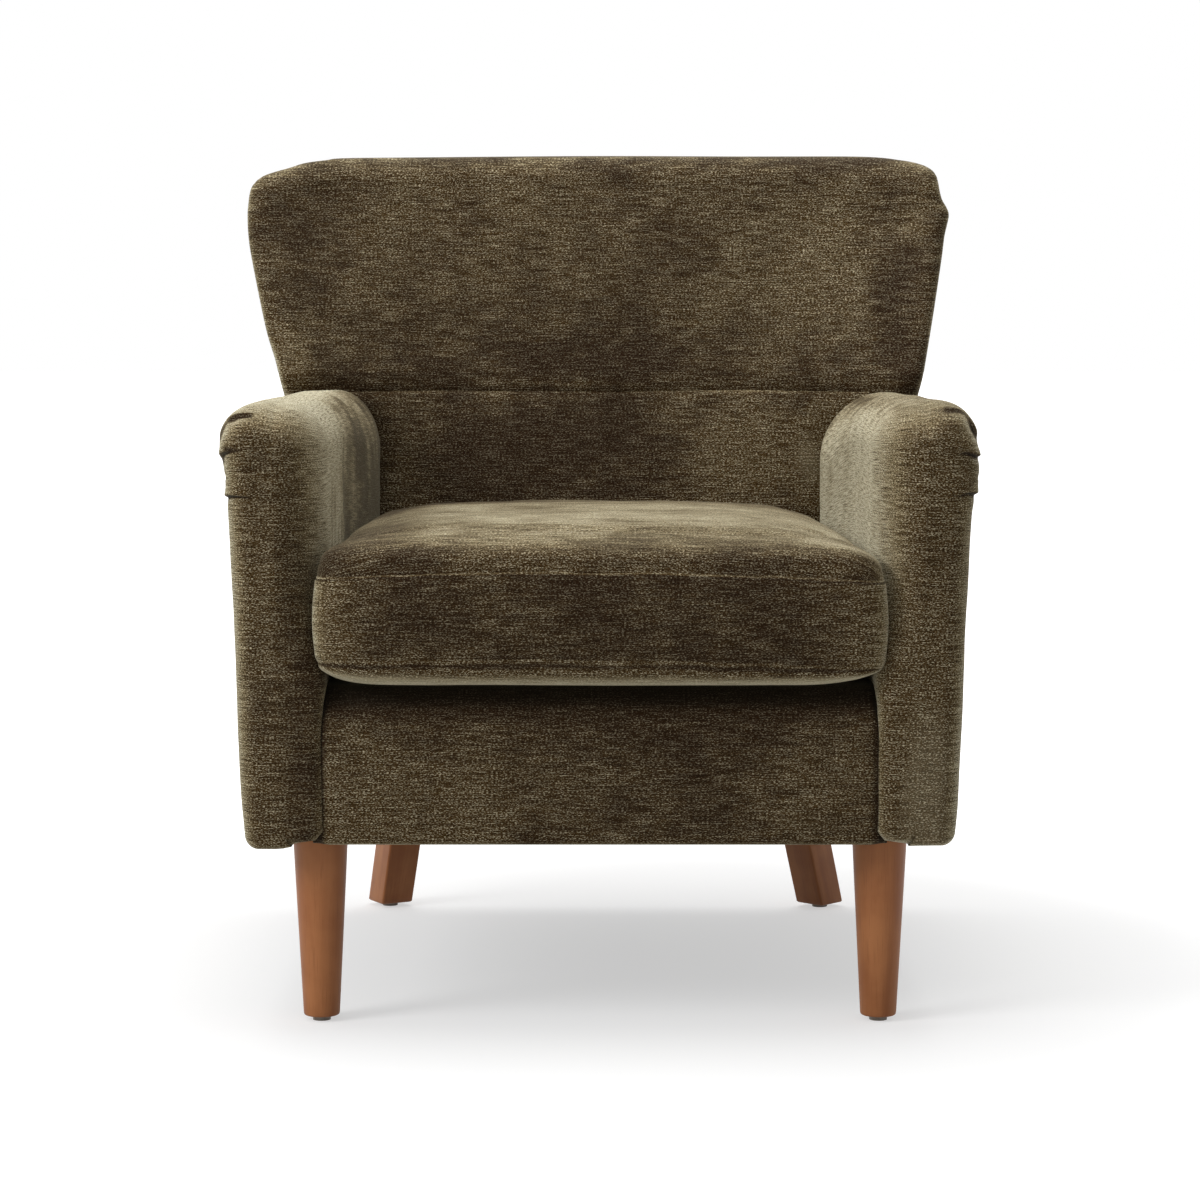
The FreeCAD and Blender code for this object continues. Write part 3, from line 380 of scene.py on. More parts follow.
def leg_wood():
    """Warm brown stained hardwood, its faint grain along the leg, satin lacquer."""
    finish = Finish("leg_wood", Coat_Weight=0.08, Coat_Roughness=0.35, Specular_IOR_Level=0.25)
    bands = finish.noise(finish.on_cloth((46, 4, 1)), 1.0, 4.0, 0.55, 0.5)
    pore = finish.rise(finish.noise(finish.on_cloth((800, 22, 1)), 1.0, 2.0, 0.6), 0.56, 0.7)
    blotch = finish.noise(finish.place(), 24.0, 3.0, 0.5)
    stain = finish.rise(bands * 0.6 + blotch * 0.4, 0.3, 0.7)
    colour = finish.mix(stain, rgb(150, 91, 51), rgb(180, 118, 72))
    colour = finish.mix(pore * 0.28, colour, rgb(112, 64, 34))
    return finish.shade(Base_Color=colour, Roughness=0.44 + bands * 0.12,
                        Normal=finish.bump(1 - pore, 0.0002, 0.3))


def woven(name, dark, light, threads):
    """Plain woven cloth, for the deck, webbing, tape, thread and dust cover."""
    finish = Finish(name, Sheen_Weight=0.15, Sheen_Roughness=0.5, Specular_IOR_Level=0.15)
    warp = finish.noise(finish.place((threads, threads * 0.12, threads * 0.12)), 1.0, 1.0)
    weft = finish.noise(finish.place((threads * 0.12, threads, threads)), 1.0, 1.0)
    fuzz = finish.noise(finish.place(), 60.0, 4.0, 0.6)
    weave = warp * 0.5 + weft * 0.5
    colour = finish.mix(finish.rise(weave * 0.7 + fuzz * 0.3, 0.36, 0.64), rgb(*dark), rgb(*light))
    return finish.shade(Base_Color=colour, Roughness=0.8 + fuzz * 0.15,
                        Normal=finish.bump(weave, 0.0006, 0.6))


def clouded(name, tones, cloud, grain, rough, dents, **constants):
    """Plain finish: clouds of two tones, and a grain that roughens and dents the surface.

    The cloud and the grain are a stretch of the object's coordinates and then the settings of a noise.
    """
    finish = Finish(name, **constants)
    clouds = finish.noise(finish.place(cloud[0]), *cloud[1:])
    marks = finish.noise(finish.place(grain[0]), *grain[1:])
    dark, light = (rgb(*tone) for tone in tones)
    return finish.shade(Base_Color=finish.mix(clouds, dark, light), Roughness=rough[0] + marks * rough[1],
                        Normal=finish.bump(marks, *dents))


EVEN = (1, 1, 1)
PLATING = ((1, 1, 3), 120.0, 3.0)
TARNISH = (EVEN, 300.0, 3.0)
COIL_CLOUD = (EVEN, 240.0, 3.0)
BOARD_FIBRE = (EVEN, 420.0, 4.0, 0.65)

BRASS = clouded("aged_brass", ((120, 96, 58), (168, 140, 92)), TARNISH, TARNISH, (0.3, 0.25), (0.0001, 0.3),
                Metallic=1.0)
ZIP_COIL = clouded("zip_coil", ((58, 46, 29), (84, 70, 47)), COIL_CLOUD, COIL_CLOUD, (0.4, 0.2),
                   (0.0001, 0.3), Specular_IOR_Level=0.4)
SLOT_FINISH = {
    "cover_fabric": chenille(),
    "leg_wood": leg_wood(),
    "foam": clouded("foam", ((226, 212, 164), (238, 230, 198)), (EVEN, 8.0, 3.0), (EVEN, 900.0, 2.0),
                    (0.85, 0.1), (0.001, 0.6), Specular_IOR_Level=0.1),
    "frame_wood": clouded("frame_timber", ((186, 146, 98), (214, 180, 134)),
                          ((6, 6, 60), 4.0, 4.0, 0.6, 0.5), ((40, 40, 400), 4.0, 2.0),
                          (0.62, 0.2), (0.0004, 0.4), Specular_IOR_Level=0.3),
    "steel": clouded("zinc_steel", ((150, 150, 146), (196, 196, 190)), PLATING, PLATING, (0.26, 0.22),
                     (0.0002, 0.2), Metallic=1.0),
    "webbing": woven("jute_webbing", (120, 96, 62), (176, 150, 108), 900),
    "deck_cloth": woven("deck_cloth", (40, 33, 23), (66, 56, 41), 1100),
    "dust_cloth": woven("dust_cloth", (20, 19, 18), (42, 40, 38), 700),
    "fibreboard": clouded("fibreboard", ((112, 82, 54), (146, 112, 78)), BOARD_FIBRE, BOARD_FIBRE,
                          (0.7, 0.2), (0.0004, 0.5), Specular_IOR_Level=0.2),
    "nylon": clouded("glide_nylon", ((138, 128, 116), (176, 168, 156)), (EVEN, 180.0, 3.0),
                     ((1, 1, 0.2), 900.0, 2.0), (0.34, 0.24), (0.0002, 0.3), Specular_IOR_Level=0.5,
                     Subsurface_Weight=0.2, Subsurface_Radius=(0.004, 0.003, 0.002)),
    "zip_tape": woven("zip_tape", (52, 42, 28), (78, 66, 46), 1600),
}


def give(piece, body, slot, *nodes):
    """Piece that moves with a body and stands in for the solids it hides; its slot is not used."""
    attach(piece, body)
    if nodes:
        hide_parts(*nodes)
    return piece


def upholstered(cloth, name, fill, *nodes, body="chair", slot="cover_fabric"):
    """Padded piece that stands for a cover and its filling."""
    piece = give(cloth.make(name, SLOT_FINISH[slot]), body, slot, *nodes)
    return piece


# Where the back and the arms lie

def inside_y(z):
    """Face of the inside back."""
    return INSIDE_BACK_Y + np.maximum(0.0, z - LEAN_START_Z) * INSIDE_SLOPE


def split_y(z):
    """Where the outside back's panel starts."""
    return OUTSIDE_BACK_Y - (OUTSIDE_BACK_HIGH_Z - z) * OUTSIDE_SLOPE - OUTSIDE_PANEL_THICK


def arm_outer_x(z):
    """Outer face of the arm below its roll, a little full in the middle and at the hem."""
    share = np.clip((z - ARM_BASE_Z) / (ARM_ROLL_Z - ARM_BASE_Z), 0, 1)
    full = 2.5 * np.sin(math.pi * share) + 5.5 * (1 - ease(z, 200, 430))
    return ARM_HALF_WIDTH - (ARM_ROLL_Z - z) * ARM_LEAN + full


# Arms

# Folds of each arm's front as (points in x and z, depth, height of the lip), x negative outwards
PLEATS = {
    -1: [
        ([(-369, 582), (-363, 597), (-357, 601), (-348, 605), (-337, 606.5)], 3.0, 3.8),
        ([(-369, 560), (-366, 568.5), (-360, 572), (-354, 574), (-345, 575)], 3.0, 3.8),
        ([(-369, 526), (-361, 529), (-353, 529.5), (-344, 529), (-337, 528)], 2.8, 3.6),
    ],
    1: [
        ([(-366, 588), (-362, 594), (-360, 598.5), (-357, 605), (-350, 609), (-335, 611.5)], 3.0, 4.0),
        ([(-370, 566), (-366, 567.5), (-360, 570), (-354, 572), (-347, 570)], 3.0, 4.0),
        ([(-369, 529), (-363.5, 531), (-358, 532.5), (-352, 531), (-346, 529)], 2.8, 3.8),
    ],
}

# How much the top drops and the inner roll grows in x and z towards the rear
ROLL_CHANGE = {-1: (0.0, 0.0, 20.0), 1: (2.0, 24.0, 32.0)}

# Rows round an arm's section: hem, inside, inner roll, top, outer roll, outside, foot, hem
DENSE_Z = 500.0
ARM_UP = np.concatenate([np.linspace(ARM_FOOT_Z, DENSE_Z, 44, endpoint=False),
                         np.linspace(DENSE_Z, ARM_SHOULDER_Z, 42)])
ARM_DOWN = np.concatenate([np.linspace(ARM_SHOULDER_Z, DENSE_Z, 80, endpoint=False),
                           np.linspace(DENSE_Z, ARM_FOOT_Z, 44)])
HEM_ROWS, ROLL_IN_ROWS, TOP_ROWS, ROLL_OUT_ROWS, FOOT_ROWS = 5, 26, 5, 76, 7
ARM_MARKS = np.cumsum([0, HEM_ROWS, len(ARM_UP), ROLL_IN_ROWS, TOP_ROWS, ROLL_OUT_ROWS, len(ARM_DOWN),
                       FOOT_ROWS, HEM_ROWS])
ARM_ROWS = ARM_MARKS[-1]
FRONT_ROUND_X = [12, 30, 49, 48, 46, 30, 22, 12, 8]
FRONT_ROUND_Y = [12, 30, 88, 84, 70, 38, 28, 14, 8]


def pleats(points, folds):
    """Lift along the normals of the gathered front of an arm, and a mask for the painted shade in its
    creases.
    """
    lift, painted_crease_shade = np.zeros(points.shape[:-1]), np.zeros(points.shape[:-1])
    flat = points[..., [0, 2]]
    wrapped = 1 - ease(points[..., 1], -346.0, -316.0)
    for control, depth, height in folds:
        line = through(control, 40)
        tangent = np.gradient(line, axis=0)
        tangent /= np.linalg.norm(tangent, axis=1, keepdims=True)
        nearest = np.linalg.norm(flat[..., None, :] - line, axis=-1).argmin(-1)
        offset = flat - line[nearest]
        above = offset[..., 1] * tangent[nearest, 0] - offset[..., 0] * tangent[nearest, 1]
        past = np.maximum(0.0, (offset * tangent[nearest]).sum(-1))
        fade = (1 - nearest / (len(line) - 1)) ** 0.4 * swell(past, 0, 4.0) * wrapped
        upper = 0.5 + 0.5 * np.tanh(above / 0.7)
        lip = height * swell(np.maximum(above, 0), 0, 10.0)
        dip = depth * swell(np.minimum(above, 0), 0, 5.0)
        lift += fade * (lip * upper - dip * (1 - upper))
        painted_crease_shade = np.maximum(painted_crease_shade, fade * swell(above, -0.7, 1.5))
    return lift, painted_crease_shade


def arm_section(side, full):
    """x outwards and z of every row of an arm, where full runs from 0 at the front to 1 at the rear."""
    drop, wider, deeper = ROLL_CHANGE[side]
    inner, high = ARM_INNER_X - 20 * full, ARM_TOP_Z - drop * full
    roll_x, roll_z = ARM_INNER_R + wider * full, ARM_INNER_R + deeper * full
    hem_in, inside, roll_in, top, roll_out, outside, foot, hem_out = (
        slice(start, end) for start, end in zip(ARM_MARKS, ARM_MARKS[1:]))
    x, z = np.zeros(full.shape), np.zeros(full.shape)

    def share(count, last=False):
        return np.linspace(0, 1, count, endpoint=last)[:, None]

    t = share(HEM_ROWS)
    x[hem_in], z[hem_in] = inner[hem_in] + 2 + 40 * (1 - t), ARM_BASE_Z + 6 * t
    up = ARM_UP[:, None]
    upright = ((high - roll_z)[inside] - ARM_FOOT_Z) / (ARM_SHOULDER_Z - ARM_FOOT_Z)
    x[inside] = inner[inside] + 2 * (1 - ease(up, 320, 350))
    z[inside] = ARM_FOOT_Z + (up - ARM_FOOT_Z) * upright
    turn = math.pi * (1 - 0.5 * (share(ROLL_IN_ROWS) * (1 - 1 / ROLL_IN_ROWS) + 1 / ROLL_IN_ROWS))
    x[roll_in] = inner[roll_in] + roll_x[roll_in] * (1 + np.cos(turn))
    z[roll_in] = (high - roll_z)[roll_in] + roll_z[roll_in] * np.sin(turn)
    start, end = (inner + roll_x)[top], ARM_HALF_WIDTH - ARM_OUTER_R
    x[top], z[top] = start + (end - start) * share(TOP_ROWS), high[top]
    turn = math.pi / 2 * (1 - share(ROLL_OUT_ROWS))
    x[roll_out] = end + ARM_OUTER_R * np.cos(turn)
    z[roll_out] = ARM_ROLL_Z + (ARM_OUTER_R + high[roll_out] - ARM_TOP_Z) * np.sin(turn)
    down = ARM_DOWN[:, None]
    x[outside], z[outside] = arm_outer_x(down), down
    turn = -math.pi / 2 * (share(FOOT_ROWS) + 1 / FOOT_ROWS) * FOOT_ROWS / (FOOT_ROWS + 1)
    hem_x = arm_outer_x(ARM_FOOT_Z) - ARM_HEM_R
    x[foot], z[foot] = hem_x + ARM_HEM_R * np.cos(turn), ARM_FOOT_Z + ARM_HEM_R * np.sin(turn)
    x[hem_out], z[hem_out] = hem_x - 34 * share(HEM_ROWS, True), ARM_BASE_Z
    return x, z


def arm_fullness(side, points):
    """Uneven padding of an arm, with the fuller spots of its front roll."""
    x, y, z = np.moveaxis(points, -1, 0)
    puff = 1.1 * lumps(points, 62.0, 3 + side) + 0.4 * lumps(points, 23.0, 5 + side)
    if side < 0:
        spots = 6.5 * swell(x, 364, 26) * swell(z, 588, 36)
    else:
        spots = 5.5 * swell(z, 553, 30) * ease(x, 350, 366) + 4 * swell(x, 352, 20) * swell(z, 602, 20)
    return puff * ease(z, 190, 230) + spots * (1 - ease(y, -250, -120))


def arm_seam(points):
    """Seam between the arm's cover and its outside panel: under the roll, and down behind the front."""
    x, y, z = np.moveaxis(points, -1, 0)
    behind = ease(y, ARM_PANEL_FRONT_Y - 3, ARM_PANEL_FRONT_Y + 3)
    below = 1 - ease(z, ARM_PANEL_TOP_Z - 3, ARM_PANEL_TOP_Z + 3)
    seam = np.maximum(swell(z, ARM_PANEL_TOP_Z, 2.2) * behind, swell(y, ARM_PANEL_FRONT_Y, 2.2) * below)
    return seam * ease(x, 330, 340)


def arm_nap_and_painted_light(side, points):
    """How the pile of an arm lies, with x outwards, and painted light and shade: lighter towards the top, on
    the right arm's inner face and low front, and on the left arm's inner roll and low outer edge; darker
    inside the left arm towards the rear, low inside both arms and along the top of the right roll; uneven
    brushed streaks inside.
    """
    x, y, z = np.moveaxis(points, -1, 0)
    inner = 1 - ease(x, 285, 312)
    nap = 0.3 * ease(z, 480, 600) + 0.12 * lumps(points, 80.0, 8 + side)
    if side > 0:
        nap += 0.58 + inner * (0.2 + 0.9 * swell(z, 455, 60) - 0.5 * ease(z, 585, 610))
        nap -= 0.7 * inner * ease(y, -50, 80) * ease(z, 560, 600)
        nap += 1.7 * (1 - ease(z, 260, 420)) * (1 - 0.5 * ease(x, 325, 365))
        nap -= 0.6 * swell(x, 342, 20) * swell(z, 606, 16) + 0.8 * ease(z, 600, 618)
    else:
        nap += 0.46 - inner * (1.0 * ease(y, -170, -50) + 0.6 * ease(y, -60, 60))
        nap += 0.9 * swell(x, 300, 30) * ease(z, 515, 590)
        nap += 0.6 * ease(x, 336, 360) * (1 - ease(z, 480, 560))
        nap -= 0.5 * swell(x, 300, 18) * (1 - ease(z, 430, 520))
    strokes = points * np.array([1, 1, 0.6])
    nap += inner * (0.3 * lumps(strokes, 44.0, 15 + side) + 0.5 * lumps(strokes, 19.0, 18 + side))
    nap += 0.25 * ease(z, 600, 618) * lumps(strokes, 16.0, 24 + side)
    return nap - 0.8 * inner * (1 - ease(z, 330, 400))


def arm(side, name):
    """Padded arm: flat inside, rolled top, leaning outside, front pulled over in three small pleats."""
    edge = np.column_stack([line[:, 0] for line in arm_section(side, np.zeros((ARM_ROWS, 1)))])
    edge_z = edge[:, 1]
    middle_z = np.clip(edge_z, ARM_FOOT_Z, ARM_SHOULDER_Z)
    middle = np.column_stack([(ARM_INNER_X + arm_outer_x(middle_z)) / 2, middle_z])
    reach = np.linalg.norm(middle - edge, axis=1, keepdims=True)
    rows = np.arange(ARM_ROWS)
    lower_in = rows < ARM_MARKS[2]
    round_x, round_y = (np.interp(rows, ARM_MARKS, marks) for marks in (FRONT_ROUND_X, FRONT_ROUND_Y))
    round_x = np.where(lower_in, 16 + 33 * ease(edge_z, 325, 430), round_x)[:, None]
    round_y = np.where(lower_in, 16 + 72 * ease(edge_z, 325, 460), round_y)[:, None]

    ring = np.linspace(1, 0, 56) ** 1.4
    inside = ring * reach
    bend = np.clip(1 - inside / round_x, 0, None)
    face_y = ARM_FRONT_Y + round_y * (1 - np.sqrt(1 - bend ** 2))
    face_y -= 3.0 * ease(inside, 4.0, 60.0) * ease(edge_z, ARM_BASE_Z, 240.0)[:, None]
    flat = edge[:, None] + (middle - edge)[:, None] * ring[:, None]
    cap = xyz(flat[..., 0], face_y, flat[..., 1])

    steps = np.concatenate([np.linspace(0, 0.075, 26, endpoint=False), np.linspace(0.075, 1, 92)])[1:]
    start_y = ARM_FRONT_Y + round_y
    y = start_y + (split_y(edge_z)[:, None] + 1.0 - start_y) * steps
    x, z = arm_section(side, ease(y, -90.0, 150.0))
    body = np.concatenate([cap, xyz(x, y, z)], axis=1)

    spine = xyz(318.0, np.clip(body[..., 1], -320, 400), np.clip(edge_z, 240, 560)[:, None])
    out = facing(body, spine)
    gather, painted_crease_shade = pleats(body * np.array([-1, 1, 1]), PLEATS[side])
    lift = arm_fullness(side, body) + gather
    if side < 0:
        body[..., 2] -= 3.5 * ease(body[..., 0], 296, 318) * (1 - ease(body[..., 2], 190, 260))
    seam = arm_seam(body)
    body = body + out * np.clip(lift - 1.8 * seam, -5, 9)[..., None]

    # The attribute drops in the pleat creases and along the seam groove: painted shade there
    nap = arm_nap_and_painted_light(side, body) * (1 - painted_crease_shade) - 3.4 * np.maximum(painted_crease_shade, 0.6 * seam)
    body[..., 0] *= side
    front = len(ring)
    cap, rest = body[:, :front], body[:, front - 1:]
    reached = np.cumsum(np.linalg.norm(np.diff(cap, axis=1, prepend=cap[:, :1]), axis=-1), axis=1)
    spread = middle[:, None] + ((edge - middle) / reach)[:, None] * reached[..., None]
    cloth = Cloth()
    cloth.grid(cap, side * spread[..., 0], spread[..., 1], nap[:, :front])
    cloth.grid(rest, rest[..., 1], run_along(edge)[:, None] + 700 * side, nap[:, front - 1:])
    outside = name.replace("_arm", "_outside_arm")
    return upholstered(cloth, name, 0.8, name + "_cover", outside + "_cover", name + "_pad")


arm(-1, "left_arm")
arm(1, "right_arm")


# Back

# Outline of the upper back in x and z
WING_LEFT = [(-344, BACK_CORNER_Z), (-355.5, 610), (-364.5, 650), (-378, 692), (-396, 769), (-401, 798),
             (-402.5, 820), (-402, 832), (-401, 843), (-398.5, 852), (-393, 859)]
WING_RIGHT = [(346, BACK_CORNER_Z), (360, 619), (376, 700), (388.5, 769), (392.6, 795), (396.5, 810),
              (398.4, 820), (396, 828), (391.5, 836), (389, 846), (387.5, 856), (386, 863)]
BACK_TOP = [(-393, 859), (-385, 865), (-372, 870), (-356, 875), (-340, 880.5), (-314, 884.5),
            (-291, 886.5), (-150, 888.5), (0, 889.5), (150, 889), (300, 888), (346, 883.5), (369, 878),
            (381, 871), (386, 863)]
CORNER_FOLD = [(398.4, 821), (388, 832), (372, 838), (350, 842)]

# Patches of brushed pile and painted light and shade as (x, z, half width, half height, strength)
UPPER_PATCHES = [(-251, 806, 48, 90, 0.5), (-328, 765, 40, 60, -0.6), (-352, 652, 24, 45, 1.5),
                 (-150, 850, 45, 38, 0.5), (-115, 650, 50, 38, -0.8), (25, 652, 100, 28, -1.2),
                 (165, 692, 100, 65, 0.9), (285, 775, 75, 85, 0.6), (335, 715, 32, 100, -0.9),
                 (300, 640, 45, 35, -0.4)]
LUMBAR_PATCHES = [(-165, 560, 70, 70, -0.5), (-225, 545, 32, 60, 0.6), (-20, 552, 125, 78, -1.0),
                  (178, 548, 70, 72, 1.4), (242, 542, 24, 50, 1.6)]
WING_FULL_Z = 642.0
WING_POWER = 2.1


def wing_forward(z):
    """How far the rim of the wings stands ahead of the flat of the back."""
    low = 10 + 60 * ease(z, 562.0, WING_FULL_Z)
    return np.where(z <= WING_FULL_Z, low, 70 - 25 * (z - WING_FULL_Z) / 248.0)


def rear_share(z):
    """Half width of the back's rear edge as a share of that of its front rim."""
    rear = np.interp(z, [BACK_CORNER_Z, 579, 592, 832], [350, 361, 368, 382])
    return rear / np.interp(z, [BACK_CORNER_Z, 621, 832], [344, 355, 400])


def upper_back():
    """Upper part of the inside back with its wings, and the narrow band round its rim."""
    columns, rows = edge_shares(117), edge_shares(120, 0.55)
    left = evenly(through(WING_LEFT, 400), rows)
    right = evenly(through(WING_RIGHT, 400), rows)
    top = evenly(through(BACK_TOP, 600), columns)
    across = left[0, 0] + (right[0, 0] - left[0, 0]) * columns
    seam_z = BACK_SEAM_Z - 2
    bottom = np.column_stack([across, seam_z - (seam_z - BACK_CORNER_Z) * ease(np.abs(across), 290, 318)])
    flat = patch(bottom, top, left, right, columns, rows)
    x, z = flat[..., 0], flat[..., 1]

    inside = off_line(flat, np.vstack([left, top[1:-1], right[::-1]]))
    half = np.where(x < 0, np.interp(z, left[:, 1], -left[:, 0]), np.interp(z, right[:, 1], right[:, 0]))
    share = np.clip((np.abs(x) - BACK_FLAT_HALF) / (half - BACK_RIM_R - BACK_FLAT_HALF), 0, 1.1)
    bend = np.clip(BACK_RIM_R - inside, 0, None)
    y = inside_y(z) - wing_forward(z) * share ** WING_POWER
    y += BACK_RIM_R - np.sqrt(BACK_RIM_R ** 2 - bend ** 2)
    between_arms = 1 - ease(np.abs(x), 256, 290)
    above = z - BACK_SEAM_Z
    y += between_arms * (4.5 * np.exp(-np.maximum(above + 2, 0) / 3.0) - 2.5 * swell(above, 22, 24))
    spot = xyz(x, y, z)
    y -= (2.2 * lumps(spot, 120.0, 11) + 0.7 * lumps(spot, 44.0, 12)) * ease(inside, 2, 40)
    fold = off_line(flat, through(CORNER_FOLD, 30))
    y += 2.5 * swell(fold, 0, 3.0) * ease(x, 345, 380) * ease(inside, 0.5, 8)
    face = xyz(x, y, z)
    cloth = Cloth()
    cloth.grid(face, x, z, brushed_and_painted_light(face, UPPER_PATCHES, 71) - 0.7 * ease(z, 866, 884))

    depth = edge_shares(17, 0.6)[:, None]

    def band(edge, crown, outward):
        edge_x, _, edge_z = edge.T
        rear = xyz(edge_x * rear_share(edge_z), split_y(edge_z) + 1.0, edge_z)
        bow = np.sin(math.pi * depth) * crown - 1.6 * ease(depth, 0.965, 1.0)
        strip = edge + (rear - edge) * depth[..., None] + bow[..., None] * np.array(outward)
        if outward[2]:
            cloth.grid(strip, run_along(edge), strip[..., 1], -0.7)
        else:
            cloth.grid(strip, strip[..., 1], run_along(edge))

    band(face[:, 0], 2.0, (-1, 0, 0))
    band(face[:, -1], 2.0, (1, 0, 0))
    band(face[-1], 2.5, (0, 0, 1))
    upholstered(cloth, "upper_back", 0.75, "upper_back_cover", "upper_back_pad")
    return face


def lumbar_back():
    """Plain part of the inside back, below the seam and between the arms."""
    high_z = BACK_SEAM_Z + 2
    z = np.concatenate([np.linspace(332, 596, 44, endpoint=False), np.linspace(596, high_z, 22)])[:, None]
    across = np.linspace(-1, 1, 93)
    x, z = np.broadcast_arrays(across * (ARM_INNER_X + 34 * ease(z, 560, 610)), z)
    y = inside_y(z) - 5 * swell(z, 520, 90) + 4.5 * np.exp(-np.maximum(high_z - z, 0) / 3.0)
    y += 7 * ease(np.abs(x), 222, 262) * (1 - ease(z, 560, 610))
    share = np.clip((np.abs(x) - BACK_FLAT_HALF) / 210, 0, 1)
    y -= wing_forward(BACK_SEAM_Z) * share ** WING_POWER * ease(z, 490, BACK_SEAM_Z)
    spot = xyz(x, y, z)
    y -= (1.6 * lumps(spot, 110.0, 21) + 0.5 * lumps(spot, 40.0, 22)) * ease(z, 430, 510)
    face = xyz(x, y, z)
    cloth = Cloth()
    cloth.grid(face, x, z + 400, brushed_and_painted_light(face, LUMBAR_PATCHES, 74))
    return upholstered(cloth, "lumbar_back", 0.7, "lumbar_cover", "lumbar_pad")


def outside_back(face):
    """Tight panel over the outside of the back, drawn to its rounded edge."""
    columns, rows = edge_shares(71, 0.5), edge_shares(90, 0.5)

    def drawn_in(line):
        return np.column_stack([line[:, 0] * rear_share(line[:, 2]), line[:, 2]])

    def side_edge(column, side):
        low_z = np.linspace(OUTSIDE_FOOT_Z, 585, 30)
        low = np.column_stack([side * arm_outer_x(low_z), low_z])
        return evenly(np.vstack([low, drawn_in(column[column[:, 2] > 600])]), rows)

    top = evenly(drawn_in(face[-1]), columns)
    left, right = side_edge(face[:, 0], -1), side_edge(face[:, -1], 1)
    across = left[0, 0] + (right[0, 0] - left[0, 0]) * columns
    bottom = np.column_stack([across, np.full(len(columns), OUTSIDE_FOOT_Z)])
    flat = patch(bottom, top, left, right, columns, rows)
    x, z = flat[..., 0], flat[..., 1]
    inside = off_line(flat, np.vstack([left, top[1:-1], right[::-1]]))
    bend = np.clip(OUTSIDE_PANEL_THICK - inside, 0, None)
    y = split_y(z) + np.sqrt(OUTSIDE_PANEL_THICK ** 2 - bend ** 2) + 1.5 * ease(inside, 10, 160)
    y += 1.0 * lumps(xyz(x, y, z), 130.0, 31) * ease(inside, 4, 60)
    tuck = np.array([(30, 185.2), (20, 185), (10, 185.2), (0, OUTSIDE_FOOT_Z)])
    hem = xyz(x[:1], y[:1] - tuck[:, :1], tuck[:, 1:])
    cloth = Cloth()
    cloth.grid(xyz(x, y, z), -x, z)
    cloth.grid(hem, -hem[..., 0], hem[..., 1])
    upholstered(cloth, "outside_back", 0.9, "outside_back_cover", "outside_back_board")
    return left, top, right


back_face = upper_back()
lumbar_back()
outside_edge = outside_back(back_face)


# Seat

def front_panel():
    """Padded panel on the front rail, between the arms."""
    x = edge_shares(99, 0.7) * 2 * RAIL_PANEL_HALF - RAIL_PANEL_HALF
    turn = np.linspace(0, math.pi / 2, 13)
    low_r, high_y, high_z = 7, 40, 52
    under = [(RAIL_FACE_Y + 30, ARM_BASE_Z + 1.5), (RAIL_FACE_Y + 18, ARM_BASE_Z + 0.8)]
    low = [(RAIL_FACE_Y + low_r - low_r * math.sin(a), ARM_BASE_Z + low_r + 0.5 - low_r * math.cos(a))
           for a in turn]
    wall = [(RAIL_FACE_Y, z) for z in np.linspace(ARM_BASE_Z + 11, RAIL_TOP_Z - 56, 20)]
    high = [(RAIL_FACE_Y + high_y - high_y * math.cos(a), RAIL_TOP_Z - high_z + high_z * math.sin(a))
            for a in turn]
    back = [(RAIL_FACE_Y + 52, RAIL_TOP_Z + 0.6), (RAIL_FACE_Y + 74, RAIL_TOP_Z + 1.0)]
    line = np.array(under + low + wall + high + back)
    x, y, z = np.moveaxis(xyz(x, line[:, :1], line[:, 1:]), -1, 0)
    wide = np.abs(x)
    y += 10 * ease(wide, 266, 281)
    upright = ease(z, 190, 215) * (1 - ease(z, 315, 339))
    spot = xyz(x, y, z)
    bow = 2.5 * np.sin(math.pi * (z - ARM_BASE_Z) / (RAIL_TOP_Z - ARM_BASE_Z))
    y -= upright * (bow + 1.2 * lumps(spot, 90.0, 41))
    # Painted shadow along the top under the cushion's front, and painted shade at both ends beside the arms
    nap = 0.3 - 0.6 * ease(z, 250, 300) - 1.8 * ease(z, 300, 330) - 2.2 * ease(wide, 267, 275)
    nap += 0.12 * lumps(spot, 60.0, 43)
    cloth = Cloth()
    cloth.grid(xyz(x, y, z), x, run_along(line)[:, None] + 1300, nap)
    return upholstered(cloth, "front_panel", 0.8, "front_rail_cover", "front_rail_pad")


def seat_deck():
    """Plain cloth over the springs, under the loose cushion."""
    x, y = np.meshgrid(np.linspace(-DECK_HALF, DECK_HALF, 60), np.linspace(DECK_FRONT_Y, DECK_REAR_Y, 56))
    room = np.minimum(DECK_HALF - np.abs(x), np.minimum(y - DECK_FRONT_Y, DECK_REAR_Y - y))
    z = DECK_Z - 5.0 + 4.6 * ease(room, 0, 60) - 4 * np.exp(-room / 8)
    z += 0.9 * lumps(xyz(x, y, z), 90.0, 51) - 1.0
    cloth = Cloth()
    cloth.grid(xyz(x, y, np.minimum(z, DECK_Z - 0.1)), x, y)
    return upholstered(cloth, "seat_deck", 0.6, "deck_cover", "deck_pad", slot="deck_cloth")


